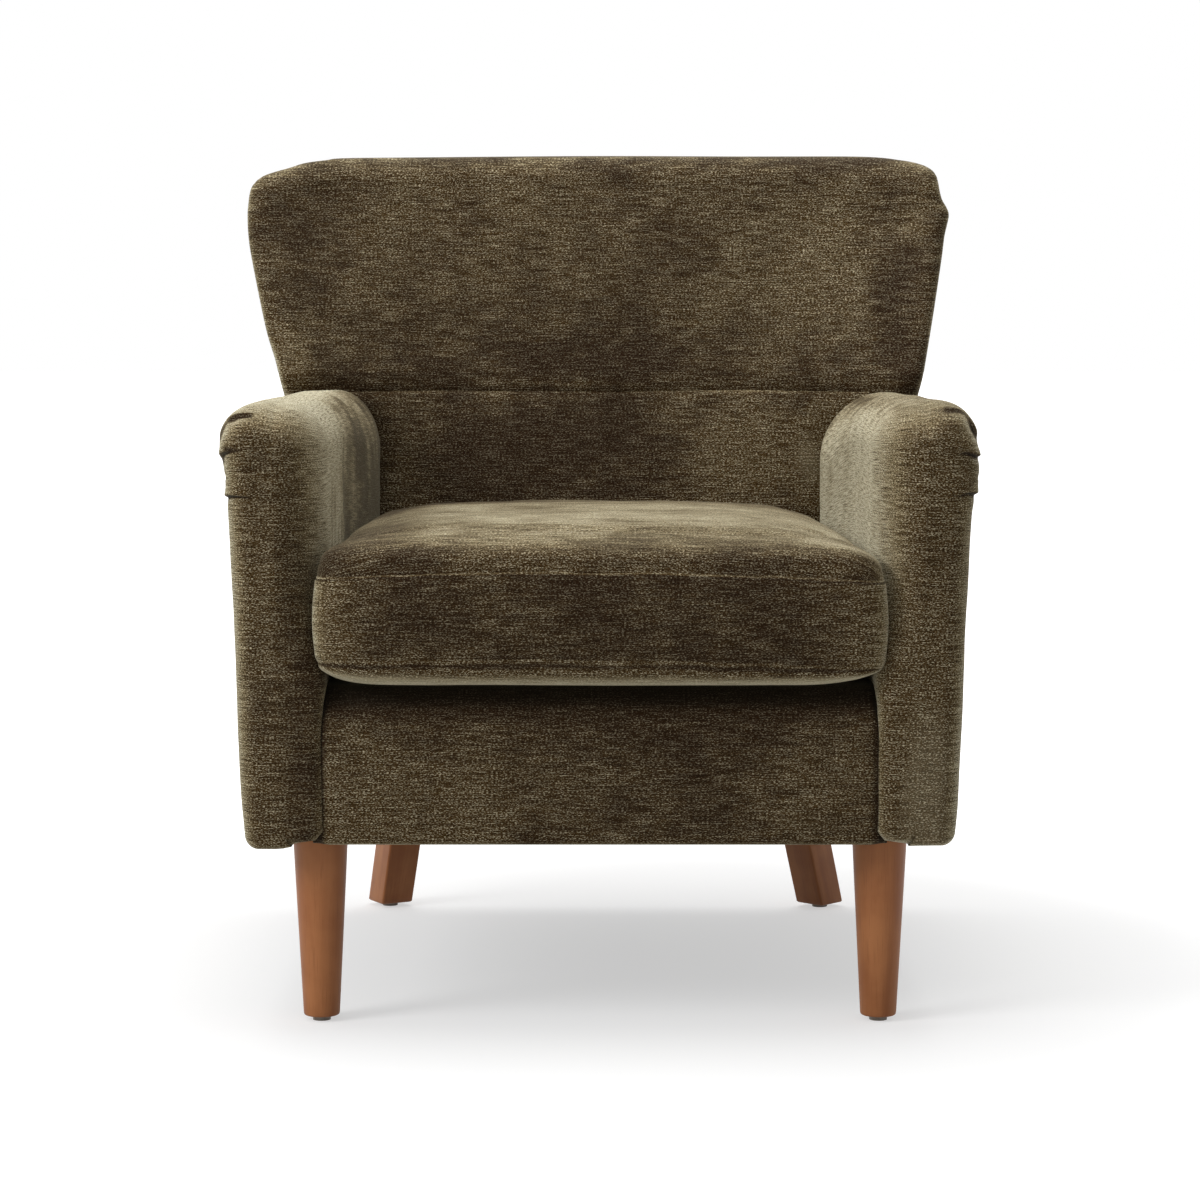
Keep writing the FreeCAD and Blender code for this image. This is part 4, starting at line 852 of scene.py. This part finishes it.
# Height of the cushion's crown over the way in from its seam
FRONT_CROWN = np.array([(0, 0), (2, 8), (5, 14.5), (10, 22.5), (18, 31), (27, 37), (38, 42), (50, 45.5),
                        (63, 48.5), (94, 52.2), (140, 54.8), (207, 56.4), (270, 57)])
SIDE_CROWN = np.array([(0, 0), (2, 12), (5, 20), (10, 28.5), (18, 36.5), (27, 42), (38, 46.5), (50, 49),
                       (63, 51), (94, 53.5), (140, 55.2), (207, 56.4), (270, 57)])
CUSHION_REACH, CUSHION_CROWN = FRONT_CROWN[-1]
CUSHION_RIGHT = [(0, -379), (120, -378.5), (200, -377), (246, -374.5), (266, -368), (275, -358.5),
                 (277.5, -349), (276, -339), (271, -325), (268, -310), (267.5, -200), (267, -100),
                 (264, -40), (257, 30), (250, 90), (247, 130), (243, 146), (232, 154), (214, 156.8),
                 (180, 157), (90, 157), (0, 157)]
CUSHION_CENTRE = np.array([0.0, -113.0])
CUSHION_HALF = 268.0
CUSHION_FRONT_Y, CUSHION_REAR_Y = -379.0, 158.0
CUSHION_TOP_Z = 504.0
TOP_SEAM_Z, LOW_SEAM_Z = 451.0, 367.0
CUSHION_SLACK = 4.0
CUSHION_SWELL = 8.0
CUSHION_SINK = 1.5

# Rings of the cushion, from the middle of its underside to the middle of its top
AROUND = 440
UNDER_SHARES = np.linspace(1, 0, 26, endpoint=False) ** 1.8
BOXING_SHARES = edge_shares(31, 0.55)
CROWN_SHARES = np.linspace(0, 1, 50)[1:] ** 1.8
LOW_ROW = len(UNDER_SHARES)
TOP_ROW = LOW_ROW + len(BOXING_SHARES) - 1


def unrolled(rings, shift):
    """Cloth coordinates of rings that close on the cushion's centre, true to length from there outwards."""
    steps = np.linalg.norm(np.diff(rings, axis=0), axis=-1)
    run = np.concatenate([np.zeros((1, rings.shape[1])), np.cumsum(steps, axis=0)])
    left = run[-1] - run
    way = rings[0, :, :2] - CUSHION_CENTRE
    way = way / np.linalg.norm(way, axis=-1, keepdims=True)
    return np.stack([CUSHION_CENTRE[0] + way[:, 0] * left, CUSHION_CENTRE[1] + way[:, 1] * left + shift])


def settled(points, rows, columns, held):
    """Movement of a cushion of rings in a cloth simulation, run on a coarse copy of them."""
    coarse = points[np.ix_(rows, columns)]
    count, around = coarse.shape[:2]
    index = np.arange(count * around).reshape(count, around)
    beside = np.roll(index, -1, axis=1)
    quads = np.stack([index[:-1], beside[:-1], beside[1:], index[1:]], -1).reshape(-1, 4)
    mesh = bpy.data.meshes.new("cushion_form")
    mesh.from_pydata((coarse.reshape(-1, 3) * MM).tolist(), [],
                     quads.tolist() + [index[-1].tolist(), index[0, ::-1].tolist()])
    form = linked("cushion_form", mesh)
    seams = form.vertex_groups.new(name="held")
    seams.add(index[held].ravel().tolist(), 1.0, "REPLACE")
    cloth = form.modifiers.new("swell", "CLOTH")
    cloth.settings.quality = 6
    cloth.settings.mass = 0.3
    cloth.settings.tension_stiffness = cloth.settings.compression_stiffness = 20.0
    cloth.settings.shear_stiffness = 8.0
    cloth.settings.bending_stiffness = 1.0
    cloth.settings.use_pressure = True
    cloth.settings.uniform_pressure_force = 4.0
    cloth.settings.effector_weights.gravity = 0.0
    cloth.settings.vertex_group_mass = "held"
    cloth.point_cache.frame_end = 20
    for step in range(1, 21):
        bpy.context.scene.frame_set(step)
    swollen = form.evaluated_get(bpy.context.evaluated_depsgraph_get()).to_mesh()
    moved = np.empty(len(swollen.vertices) * 3)
    swollen.vertices.foreach_get("co", moved)
    moved = moved.reshape(coarse.shape) / MM - coarse
    bpy.context.scene.frame_set(1)
    bpy.data.objects.remove(form)
    bpy.data.meshes.remove(mesh)

    by_row = np.stack([np.interp(np.arange(len(points)), rows, line) for line in np.eye(count)], 1)
    wrap = np.append(columns, points.shape[1] - 1)
    lines = np.eye(around)[list(range(around)) + [0]].T
    by_column = np.stack([np.interp(np.arange(points.shape[1]), wrap, line) for line in lines], 1)
    return np.einsum("ai,ijk,bj->abk", by_row, moved, by_column)


def smoothed(moved, still, rounds):
    """Movement evened out over its neighbours, with the still rows kept at none."""
    for _ in range(rounds):
        ring = moved[:, :-1]
        moved[:, :-1] = (np.roll(ring, 1, axis=1) + 2 * ring + np.roll(ring, -1, axis=1)) / 4
        moved[:, -1] = moved[:, 0]
        moved[1:-1] = (moved[:-2] + 2 * moved[1:-1] + moved[2:]) / 4
        moved[still] = 0
    return moved


def filled_out(shaped, normal, front):
    """Cushion after a cloth simulation, held at its underside and seams and stopped by the foam."""
    rows = np.arange(len(shaped))
    loose = (rows > LOW_ROW) & (rows != TOP_ROW)
    sideways = np.column_stack([front, front, np.ones(len(front))])
    slack = shaped - normal * (CUSHION_SLACK * loose)[:, None, None] * sideways
    boxing = np.linspace(LOW_ROW, TOP_ROW, 9).round().astype(int)
    crown = np.linspace(TOP_ROW, len(rows) - 4, 17).round().astype(int)
    picked = np.unique(np.concatenate([np.arange(8, LOW_ROW, 6), boxing, crown]))
    held = (picked <= LOW_ROW) | (picked == TOP_ROW)
    moved = smoothed(settled(slack, picked, np.arange(0, AROUND, 5), held), ~loose, 16) * sideways
    moved[-3:] = moved[-3:].mean(axis=(0, 1))
    length = np.linalg.norm(moved, axis=-1, keepdims=True)
    points = slack + moved * np.minimum(1, CUSHION_SWELL / np.maximum(length, 1e-6))
    from_seam = np.minimum(np.abs(rows - TOP_ROW), np.abs(rows - LOW_ROW))
    moved = (points - shaped) * ease(from_seam, 0, 11)[:, None, None]
    along = (moved * normal).sum(-1, keepdims=True)
    on_foam = np.where(along < 0, CUSHION_SINK * np.tanh(along / CUSHION_SINK), 0.5 * along)
    return shaped + moved + normal * (on_foam - along)


def cushion_rings(plan, out, front):
    """Shape of the cushion before it is filled out: soft underside, upright boxing, crowned top."""
    x = plan[:, 0]
    wave = front * 0.9 * lumps(xyz(x, plan[:, 1], 0.0), 24.0, 64)
    top_seam = TOP_SEAM_Z + wave + front * (4.4 - 7.0 * (x / 272) ** 2 - 2 * x / 272)
    low_seam = LOW_SEAM_Z + wave[::-1] + front * (3.6 - 5.5 * (x / 271) ** 2 - 3 * x / 271)
    ahead = np.clip(-out[:, 1], 0, 1) ** 2

    def rounded(over, half):
        return 1 - np.sqrt(1 - np.clip(over / half, 0, 1) ** 2)

    def crown(profile, inwards):
        return np.interp(inwards, *profile.T)

    rings = []

    def ring(spot, outwards, z):
        rings.append(np.column_stack([spot + out * outwards[:, None], z]))

    for share in UNDER_SHARES:
        inwards = share * CUSHION_REACH
        spot = plan + (CUSHION_CENTRE - plan) * share
        soft = min(inwards / 20, 1)
        corner = 16 * rounded(spot[:, 0] - 185, 92) + 14 * rounded(-spot[:, 0] - 200, 77)
        lifted = ease(-spot[:, 1], 250, 350) * corner
        roll = 3.0 * front * swell(inwards, 4, 5) * (1 - math.exp(-inwards / 2))
        ring(spot, roll, low_seam + (DECK_Z + 0.6 + lifted - low_seam) * (1 - (1 - soft) ** 2) ** 0.6)
    for share in BOXING_SHARES:
        bulge = (1 - (2 * share - 1) ** 2) ** 0.55 * (0.4 + 6.6 * front)
        ring(plan, bulge, low_seam + (top_seam - low_seam) * share)
    for share in CROWN_SHARES:
        inwards = share * CUSHION_REACH
        spot = plan + (CUSHION_CENTRE - plan) * share
        sunk = 1 - 0.38 * ease(spot[:, 0], 60, 200)
        rise = ahead * crown(FRONT_CROWN, inwards) + (1 - ahead) * crown(SIDE_CROWN, inwards * sunk)
        rise /= CUSHION_CROWN
        walls = [crown(SIDE_CROWN, (CUSHION_HALF - np.abs(spot[:, 0])) * sunk),
                 crown(SIDE_CROWN, CUSHION_REAR_Y - spot[:, 1]),
                 crown(FRONT_CROWN, spot[:, 1] - CUSHION_FRONT_Y)]
        domed = ((np.maximum(walls, 1.0) / CUSHION_CROWN) ** -4.0).sum(0) - 2
        rise += (domed ** -0.25 - rise) * ease(inwards, 4.0, 40.0)
        lap = (1.6 + 3.6 * front) * swell(inwards, 10, 16) * (1 - math.exp(-inwards / 4))
        ring(spot, lap, top_seam + (CUSHION_TOP_Z - top_seam) * rise)
    return np.array(rings)


def seat_cushion():
    """Loose box cushion: crowned top, upright boxing between two seams, soft underside."""
    right = through(CUSHION_RIGHT, AROUND // 2 + 1)
    plan = np.vstack([right, right[-2:0:-1] * np.array([-1, 1]), right[:1]])
    tangent = np.gradient(plan, axis=0)
    tangent[0] = tangent[-1] = np.array([1.0, 0.0])
    out = np.column_stack([tangent[:, 1], -tangent[:, 0]])
    out /= np.linalg.norm(out, axis=1, keepdims=True)
    front = ease(-plan[:, 1], 334, 358)
    points = cushion_rings(plan, out, front)
    normal = facing(points, np.append(CUSHION_CENTRE, 425.0))
    normal[0], normal[-1] = (0, 0, -1), (0, 0, 1)
    points = filled_out(points, normal, front)
    lift = 1.6 * lumps(points, 95.0, 61) + 0.6 * lumps(points, 38.0, 62)
    lift *= np.clip(ease(points[..., 2], 440, 490) + front * 0.6, 0, 1)
    points = points + normal * lift[..., None]

    x, wide = plan[:, 0], np.abs(plan[:, 0])
    top_x, top_y, _ = np.moveaxis(points[TOP_ROW:], -1, 0)
    nap = 0.15 * lumps(points, 80.0, 63) + 0.05
    # Top darker towards the rear and on the left; front boxing darker in the middle and lighter at its
    # corners, a painted sheen where they turn away
    nap[TOP_ROW:] -= 0.65 * ease(top_y, -120, 60) + 0.6 * ease(-top_x, 150, 220)
    nap[:TOP_ROW] -= front * (0.15 + 0.85 * swell(x, 20, 150) - 1.3 * ease(wide, 225, 262))
    # Painted light on the underside rim below the lower seam, where the cloth curves under
    painted_rim_light = 4.4 + 1.6 * ease(wide, 120, 230)
    nap[:LOW_ROW] = painted_rim_light * (1 - np.exp(-UNDER_SHARES[:, None] * CUSHION_REACH / 8.0))
    # Each seam ridge gets a painted highlight and the row just below it painted shade
    for row, shine in ((LOW_ROW, 1.0), (TOP_ROW, 1.3)):
        beside = [row - 1, row + 1]
        points[row] += normal[row] * (1.1 - 1.0 * ease(wide, 225, 260))[:, None]
        points[beside] -= normal[beside] * 0.4
        nap[row] = shine
        nap[row - 1] = -1.2
    points[:, -1] = points[:, 0]

    under, boxing, crown = slice(LOW_ROW + 1), slice(LOW_ROW, TOP_ROW + 1), slice(TOP_ROW, None)
    cloth = Cloth()
    cloth.grid(points[under], *unrolled(points[under][::-1], 1500)[:, ::-1], nap=nap[under])
    cloth.grid(points[boxing], run_along(plan), points[boxing][..., 2] + 2000, nap=nap[boxing])
    cloth.grid(points[crown], *unrolled(points[crown], 3000), nap=nap[crown])
    return upholstered(cloth, "seat_cushion", 0.7, "seat_cushion_cover", "seat_cushion_core", body="cushion")


front_panel()
seat_deck()
seat_cushion()


# Rows of small things

ROW_INPUTS = {"Path": "Geometry", "Spacing": "Float", "Size": "Vector", "Slant": "Float", "Swap": "Float",
              "Uneven": "Float"}
THREAD_BEAD = ("GeometryNodeMeshUVSphere", {}, {"Segments": 8, "Rings": 5, "Radius": 0.5})
FLAT_WIRE = ("GeometryNodeMeshCube", {}, {"Vertices X": 5, "Vertices Y": 2, "Vertices Z": 2})


def row_tree(name, shape, material):
    """Geometry nodes that repeat one small shape along a path whose points carry the way up."""
    tree = bpy.data.node_groups.new(name, "GeometryNodeTree")
    for label, kind in ROW_INPUTS.items():
        tree.interface.new_socket(label, in_out="INPUT", socket_type="NodeSocket" + kind)
    tree.interface.new_socket("Row", in_out="OUTPUT", socket_type="NodeSocketGeometry")
    nodes = Nodes(tree)

    def given(label):
        return nodes.node("NodeGroupInput", output=label)

    path = nodes.node("GeometryNodeMeshToCurve", {}, {"Mesh": given("Path")})
    spots = nodes.node("GeometryNodeResampleCurve", {"mode": "LENGTH"},
                       {"Curve": path, "Length": given("Spacing")})
    along = nodes.node("GeometryNodeInputTangent")
    up = nodes.node("GeometryNodeInputNamedAttribute", {"data_type": "FLOAT_VECTOR"}, {"Name": "up"})
    lie = nodes.node("FunctionNodeAxesToRotation", {"primary_axis": "X", "secondary_axis": "Z"},
                     {0: along, 1: up})
    limits = {2: 0 - given("Uneven"), 3: given("Uneven"), "Seed": 5}
    wobble = nodes.node("FunctionNodeRandomValue", {"data_type": "FLOAT"}, limits, output=1)
    every_other = nodes.node("GeometryNodeInputIndex") % 2
    slant = given("Slant") * (1 - given("Swap") * 2 * every_other) + wobble
    slant = nodes.node("ShaderNodeCombineXYZ", {}, {"Z": slant})
    turn = nodes.node("FunctionNodeEulerToRotation", {}, {0: slant})
    lie = nodes.node("FunctionNodeRotateRotation", {"rotation_space": "LOCAL"}, {0: lie, 1: turn})
    unit = nodes.node("GeometryNodeTransform", {}, {"Geometry": nodes.node(*shape), "Scale": given("Size")})
    row = nodes.node("GeometryNodeInstanceOnPoints", {},
                     {"Points": spots, "Instance": unit, "Rotation": lie})
    row = nodes.node("GeometryNodeRealizeInstances", {}, {"Geometry": row})
    row = nodes.node("GeometryNodeSetShadeSmooth", {}, {"Geometry": row})
    row = nodes.node("GeometryNodeSetMaterial", {}, {"Geometry": row, "Material": material})
    nodes.node("NodeGroupOutput", {}, {"Row": row})
    return tree


def row_of(name, tree, lines, **sizes):
    """Plain mesh of a row along lines of (points in millimetres, ways up)."""
    points = np.vstack([line for line, _ in lines]) * MM
    starts = np.cumsum([0] + [len(line) for line, _ in lines])
    edges = [(i, i + 1) for a, b in zip(starts, starts[1:]) for i in range(a, b - 1)]
    mesh = bpy.data.meshes.new(name + "_path")
    mesh.from_pydata(points.tolist(), edges, [])
    up = mesh.attributes.new("up", "FLOAT_VECTOR", "POINT")
    up.data.foreach_set("vector", np.vstack([way for _, way in lines]).astype(np.float32).ravel())
    path = linked(name + "_path", mesh)
    row = path.modifiers.new("row", "NODES")
    row.node_group = tree
    for socket in tree.interface.items_tree:
        if socket.in_out == "INPUT" and socket.name in sizes:
            row[socket.identifier] = sizes[socket.name]
    made = bpy.data.meshes.new_from_object(path.evaluated_get(bpy.context.evaluated_depsgraph_get()))
    bpy.data.objects.remove(path)
    made.name = name
    return linked(name, made)


def back_stitches(left, top, right):
    """Hand stitches that close the outside back to the band round the back and to the arms."""
    lines = []
    for edge, centre_z in ((left, 420), (top, 600), (right, 420)):
        run = edge[edge[:, 1] > 210]
        tangent = np.gradient(run, axis=0)
        away = np.column_stack([tangent[:, 1], -tangent[:, 0]])
        away *= np.sign((away * (run - np.array([0, centre_z]))).sum(-1, keepdims=True))
        away /= np.linalg.norm(away, axis=1, keepdims=True)
        spot = run - away * 0.3
        line = xyz(spot[:, 0], split_y(run[:, 1]) + 1.2, spot[:, 1])
        lines.append((line, xyz(away[:, 0], 0.0, away[:, 1])))
    tree = row_tree("stitch_row", THREAD_BEAD, woven("sewing_thread", (40, 31, 18), (78, 65, 42), 3000))
    piece = row_of("back_stitches", tree, lines, Spacing=0.011, Size=(0.0062, 0.0011, 0.0011), Slant=0.35,
                   Swap=0.0, Uneven=0.12)
    return give(piece, "chair", "cover_fabric")


FRONT_HOLE_R, REAR_HOLE_R = 28.1, 30.3
LEG_HOLES = [(-FRONT_LEG_X, FRONT_LEG_Y, FRONT_HOLE_R), (FRONT_LEG_X, FRONT_LEG_Y, FRONT_HOLE_R),
             (-REAR_LEG_X, REAR_LEG_Y, REAR_HOLE_R), (REAR_LEG_X, REAR_LEG_Y, REAR_HOLE_R)]
STAPLE_INSET = 8.0


def staple_lines(low, high):
    """Lines along the dust cloth's edges, in stretches that stay clear of the legs."""
    (west, south), (east, north) = low[:2] + STAPLE_INSET, high[:2] - STAPLE_INSET
    corners = np.array([(west, south), (east, south), (east, north), (west, north)])
    holes = np.array(LEG_HOLES)
    lines = []
    for start, end in zip(corners, np.roll(corners, -1, axis=0)):
        side = np.linspace(start, end, 160)[4:-4]
        clear = (np.linalg.norm(side[:, None] - holes[:, :2], axis=-1) > holes[:, 2] + 7).all(axis=1)
        for run in np.split(side, np.flatnonzero(np.diff(clear.astype(int))) + 1):
            if len(run) > 8 and np.linalg.norm(run[len(run) // 2] - holes[:, :2], axis=1).min() > 37:
                way_up = np.repeat([[0, 0, -1.0]], len(run), 0)
                lines.append((xyz(run[:, 0], run[:, 1], low[2] + 0.35), way_up))
    return lines


def dust_cover():
    """Thin black cloth stapled under the seat frame, cut out round the legs."""
    low, high = (np.array(corner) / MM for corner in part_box("dust_cover"))
    x, y = np.meshgrid(np.linspace(low[0], high[0], 121), np.linspace(low[1], high[1], 125))
    gone = np.zeros(x.shape, bool)
    for hole_x, hole_y, radius in LEG_HOLES:
        away = np.hypot(x - hole_x, y - hole_y)
        inside = away < radius
        gone |= inside
        x = np.where(inside, hole_x + (x - hole_x) * radius / np.maximum(away, 1), x)
        y = np.where(inside, hole_y + (y - hole_y) * radius / np.maximum(away, 1), y)
    room = np.minimum(np.minimum(x - low[0], high[0] - x), np.minimum(y - low[1], high[1] - y))
    spot = xyz(x, y, 0.0)
    slack = ease(room, 12, 130) * (2.0 + 0.7 * lumps(spot, 90.0, 81)) + 0.25 * lumps(spot, 26.0, 82)
    cloth = Cloth()
    cloth.grid(xyz(x, y, low[2] + 0.6 - np.clip(slack, 0, 2.4)), x, y)
    corners = gone.ravel()[cloth.quads[0]]
    cloth.quads[0] = cloth.quads[0][~corners.all(axis=1)]
    piece = cloth.make("dust_cloth", SLOT_FINISH["dust_cloth"])
    if piece.data.polygons[0].normal.z > 0:
        piece.data.flip_normals()
    give(piece, "chair", "dust_cloth", "dust_cover")
    tree = row_tree("staple_row", FLAT_WIRE, SLOT_FINISH["steel"])
    staples = row_of("dust_staples", tree, staple_lines(low, high), Spacing=0.034,
                     Size=(0.0105, 0.0013, 0.0007), Slant=0.0, Swap=0.0, Uneven=0.16)
    give(staples, "chair", "steel")


ZIP_Z = 414.0
ZIP_HALF = 205.0
ZIP_TAPE_WIDTH = 26.0
ZIP_COIL_Y = 159.7
SLIDER_X = -197.0
TAB_X = SLIDER_X - 0.5


def plate(cloth, outline, low, high, bevel):
    """Closed plate between two depths, with eased edges, from a closed outline in x and z."""
    outline = np.vstack([outline, outline[:1]])
    middle = outline[:-1].mean(axis=0)
    size = np.abs(outline - middle).max(axis=0)
    small = middle + (outline - middle) * (1 - bevel / size)
    point = np.repeat(middle[None], len(outline), 0)
    rings = [(point, low), (small, low), (outline, low + bevel), (outline, high - bevel), (small, high),
             (point, high)]
    points = np.array([xyz(ring[:, 0], y, ring[:, 1]) for ring, y in rings])
    cloth.grid(points, points[..., 0], points[..., 2])


def oval(x, z, half_x, half_z, power, narrow=0.0):
    """Rounded outline; narrow draws it in towards the top."""
    turn = np.linspace(0, 2 * math.pi, 40, endpoint=False)
    c, s = np.cos(turn), np.sin(turn)
    along = np.sign(s) * np.abs(s) ** (2 / power)
    across = np.sign(c) * np.abs(c) ** (2 / power) * (1 - narrow * (along + 1) / 2)
    return np.column_stack([x + half_x * across, z + half_z * along])


def cushion_zip():
    """Zip in the rear boxing of the cushion: tape, coil and a slider with its hanging tab."""
    half_profile = [(-ZIP_TAPE_WIDTH / 2, 157.8), (-12.7, 158.6), (-9, 158.9), (-3.6, 159.1)]
    profile = np.array(half_profile + [(-z, y) for z, y in half_profile[::-1]])
    points = xyz(np.linspace(-ZIP_HALF, ZIP_HALF, 150), profile[:, 1:], profile[:, :1] + ZIP_Z)
    points[..., 2] += 0.25 * lumps(points, 18.0, 91)
    cloth = Cloth()
    cloth.grid(points, points[..., 0], points[..., 2])
    tape = cloth.make("zip_tape", SLOT_FINISH["zip_tape"])
    if tape.data.polygons[len(tape.data.polygons) // 2].normal.y < 0:
        tape.data.flip_normals()
    give(tape, "cushion", "zip_tape", "cushion_zip")

    run = np.linspace(-ZIP_HALF + 2, ZIP_HALF - 2, 60)
    line = (xyz(run, ZIP_COIL_Y, ZIP_Z), np.repeat([[0, 1.0, 0]], len(run), 0))
    tree = row_tree("coil_row", THREAD_BEAD, ZIP_COIL)
    coil = row_of("zip_coil", tree, [line], Spacing=0.00135, Size=(0.0011, 0.0058, 0.0019), Slant=0.14,
                  Swap=1.0, Uneven=0.02)
    give(coil, "cushion", "zip_tape")

    slider = Cloth()
    plate(slider, oval(SLIDER_X, ZIP_Z, 8, 5.4, 3.2), 159.3, 161.2, 0.5)
    plate(slider, oval(TAB_X, ZIP_Z, 4.6, 1.7, 3.0), 161.0, 162.3, 0.4)
    plate(slider, oval(TAB_X, ZIP_Z - 12.0, 3.4, 10.5, 3.4, 0.35), 161.4, 162.2, 0.25)
    give(slider.make("zip_slider_and_tab", BRASS), "zip_slider", "steel", "zip_slider")


back_stitches(*outside_edge)
dust_cover()
cushion_zip()


# Legs

FRONT_FOOT_R, FRONT_TOP_R = 18.0, 27.5
FRONT_FOOT_EASE = 2.2
REAR_FOOT_SIDE, REAR_TOP_SIDE = 40.0, 42.0
REAR_EDGE_R = 2.6
REAR_RAKE = math.tan(math.radians(17.5))
LEG_HIGH = LEG_TOP_Z - LEG_FOOT_Z


def front_leg(side, name):
    """Round leg that tapers straight to an eased foot."""
    line = [(0.0, LEG_FOOT_Z), (FRONT_FOOT_R - 9, LEG_FOOT_Z)]
    for turn in np.linspace(0, math.pi / 2, 6):
        line.append((FRONT_FOOT_R - FRONT_FOOT_EASE * (1 - math.sin(turn)),
                     LEG_FOOT_Z + FRONT_FOOT_EASE * (1 - math.cos(turn))))
    for share in np.linspace(0.02, 1, 40):
        line.append((FRONT_FOOT_R + (FRONT_TOP_R - FRONT_FOOT_R) * share, LEG_FOOT_Z + LEG_HIGH * share))
    radius, z = np.array(line + [(0.0, LEG_TOP_Z)]).T[..., None]
    turn = np.linspace(0, 2 * math.pi, 73)
    points = xyz(side * FRONT_LEG_X + radius * np.cos(turn), FRONT_LEG_Y + radius * np.sin(turn), z)
    cloth = Cloth()
    cloth.grid(points, turn * 23 + side * 300, z)
    return give(cloth.make(name, SLOT_FINISH["leg_wood"]), "chair", "leg_wood", name)


def rear_leg(side, turn_deg, name):
    """Square raked leg with eased edges, turned on its bolt."""
    swing = side * math.radians(turn_deg)
    rake = np.array([math.sin(swing), math.cos(swing)])
    across = np.array([math.cos(swing), -math.sin(swing)])
    top = np.array([side * REAR_LEG_X, REAR_LEG_Y])
    foot = top + rake * LEG_HIGH * REAR_RAKE
    corner = []
    for a, b, first in ((1, 1, 0), (-1, 1, 90), (-1, -1, 180), (1, -1, 270)):
        for turn in np.radians(first + np.linspace(0, 90, 7)):
            corner.append((a, b, math.cos(turn), math.sin(turn)))
    corner = np.array(corner + corner[:1])

    def ring(share, draw=0.0):
        reach = (REAR_FOOT_SIDE + (REAR_TOP_SIDE - REAR_FOOT_SIDE) * share) / 2 - REAR_EDGE_R - draw
        u, v = (corner[:, :2] * reach + corner[:, 2:] * REAR_EDGE_R).T[..., None]
        flat = foot + (top - foot) * share + u * across + v * rake
        return xyz(flat[:, 0], flat[:, 1], LEG_FOOT_Z + LEG_HIGH * share)

    def closing(centre, z):
        return np.repeat([[*centre, z]], len(corner), 0)

    points = np.array([closing(foot, LEG_FOOT_Z), ring(0.0, 1.2)]
                      + [ring(share) for share in np.linspace(0.007, 1, 34)] + [closing(top, LEG_TOP_Z)])
    cloth = Cloth()
    cloth.grid(points, run_along(points[5]) + side * 500, points[..., 2])
    return give(cloth.make(name, SLOT_FINISH["leg_wood"]), "chair", "leg_wood", name)


front_leg(-1, "left_front_leg")
front_leg(1, "right_front_leg")
rear_leg(-1, 29.0, "left_rear_leg")
rear_leg(1, 43.0, "right_rear_leg")


# Finishes of the solids that stay

for part in frame["record"]["subparts"]:
    node = frame["nodes"][part["node"]]
    node.data.materials.clear()
    node.data.materials.append(SLOT_FINISH[part["material_slot"]])


# Studio

FLOOR_REACH = 40.0
WHITE = (1, 1, 1, 1)


def sees_background(nodes):
    """1 for the rays that see the pale background, 0 for those that light the chair."""
    seen = [nodes.node("ShaderNodeLightPath", output=f"Is {ray} Ray")
            for ray in ("Camera", "Glossy", "Transmission")]
    return nodes.node("ShaderNodeMath", {"operation": "ADD", "use_clamp": True},
                      {0: seen[0] + seen[1], 1: seen[2]})


def floor():
    """Pale floor that turns white away from the chair and keeps its shadow."""
    finish = Finish("pale_floor", Specular_IOR_Level=0.0)
    here = finish.place()
    away = finish.node("ShaderNodeVectorMath", {"operation": "LENGTH"}, {0: here}, output="Value")
    tint = finish.mix(finish.noise(here, 3.0, 3.0), (0.5, 0.5, 0.5, 1), (0.52, 0.52, 0.52, 1))
    glow = sees_background(finish) * (0.53 + finish.rise(away, 0.6, 1.2) * 0.6)
    finish.shade(Base_Color=tint, Roughness=0.9, Emission_Color=glow, Emission_Strength=1.0)
    mesh = bpy.data.meshes.new("floor")
    corners = [(x * FLOOR_REACH, y * FLOOR_REACH, 0) for x, y in ((-1, -1), (1, -1), (1, 1), (-1, 1))]
    mesh.from_pydata(corners, [], [(0, 1, 2, 3)])
    mesh.materials.append(finish.material)
    linked("floor", mesh)


def surroundings():
    """Soft light that comes from above and a little more from the left, in front of a white background."""
    world = bpy.data.worlds.new("studio")
    bpy.context.scene.world = world
    world.use_nodes = True
    sky = Nodes(world.node_tree)
    way = sky.node("ShaderNodeTexCoord", output="Generated")
    across, high = (sky.node("ShaderNodeSeparateXYZ", {}, {0: way}, output=axis) for axis in "XZ")
    glow = sky.node("ShaderNodeMapRange", {},
                    {"Value": high, "From Min": -0.2, "To Min": 0.16, "To Max": 0.62})
    lit = sky.node("ShaderNodeBackground", {}, {"Color": WHITE, "Strength": glow * (1 - across * 0.3)})
    white = sky.node("ShaderNodeBackground", {}, {"Color": WHITE, "Strength": 1.0})
    both = sky.node("ShaderNodeMixShader", {}, {0: sees_background(sky), 1: lit, 2: white})
    sky.put(world.node_tree.nodes["World Output"].inputs["Surface"], both)


def lamp(name, place, aim, size, power):
    light = bpy.data.lights.new(name, "AREA")
    light.shape = "DISK"
    light.size = size
    light.energy = power
    made = linked(name, light)
    made.location = place
    made.rotation_euler = (Vector(aim) - Vector(place)).to_track_quat("-Z", "Y").to_euler()


def camera():
    """Long lens in front of the chair, looking a little down."""
    lens = bpy.data.cameras.new("camera")
    lens.sensor_width = 36.0
    lens.lens = 96.0
    lens.clip_end = 200
    made = linked("camera", lens)
    made.location = (0.0, -3.4653, 0.7)
    made.rotation_euler = (math.pi / 2 - math.atan(280 / 3200), 0, 0)
    bpy.context.scene.camera = made


floor()
surroundings()
lamp("overhead", (-0.1, 0.35, 3.0), (0, 0, 0.4), 2.4, 62.0)
lamp("left_front", (-2.8, -1.9, 2.2), (0, 0, 0.5), 1.6, 54.0)
camera()
bpy.context.scene.view_settings.view_transform = "Standard"
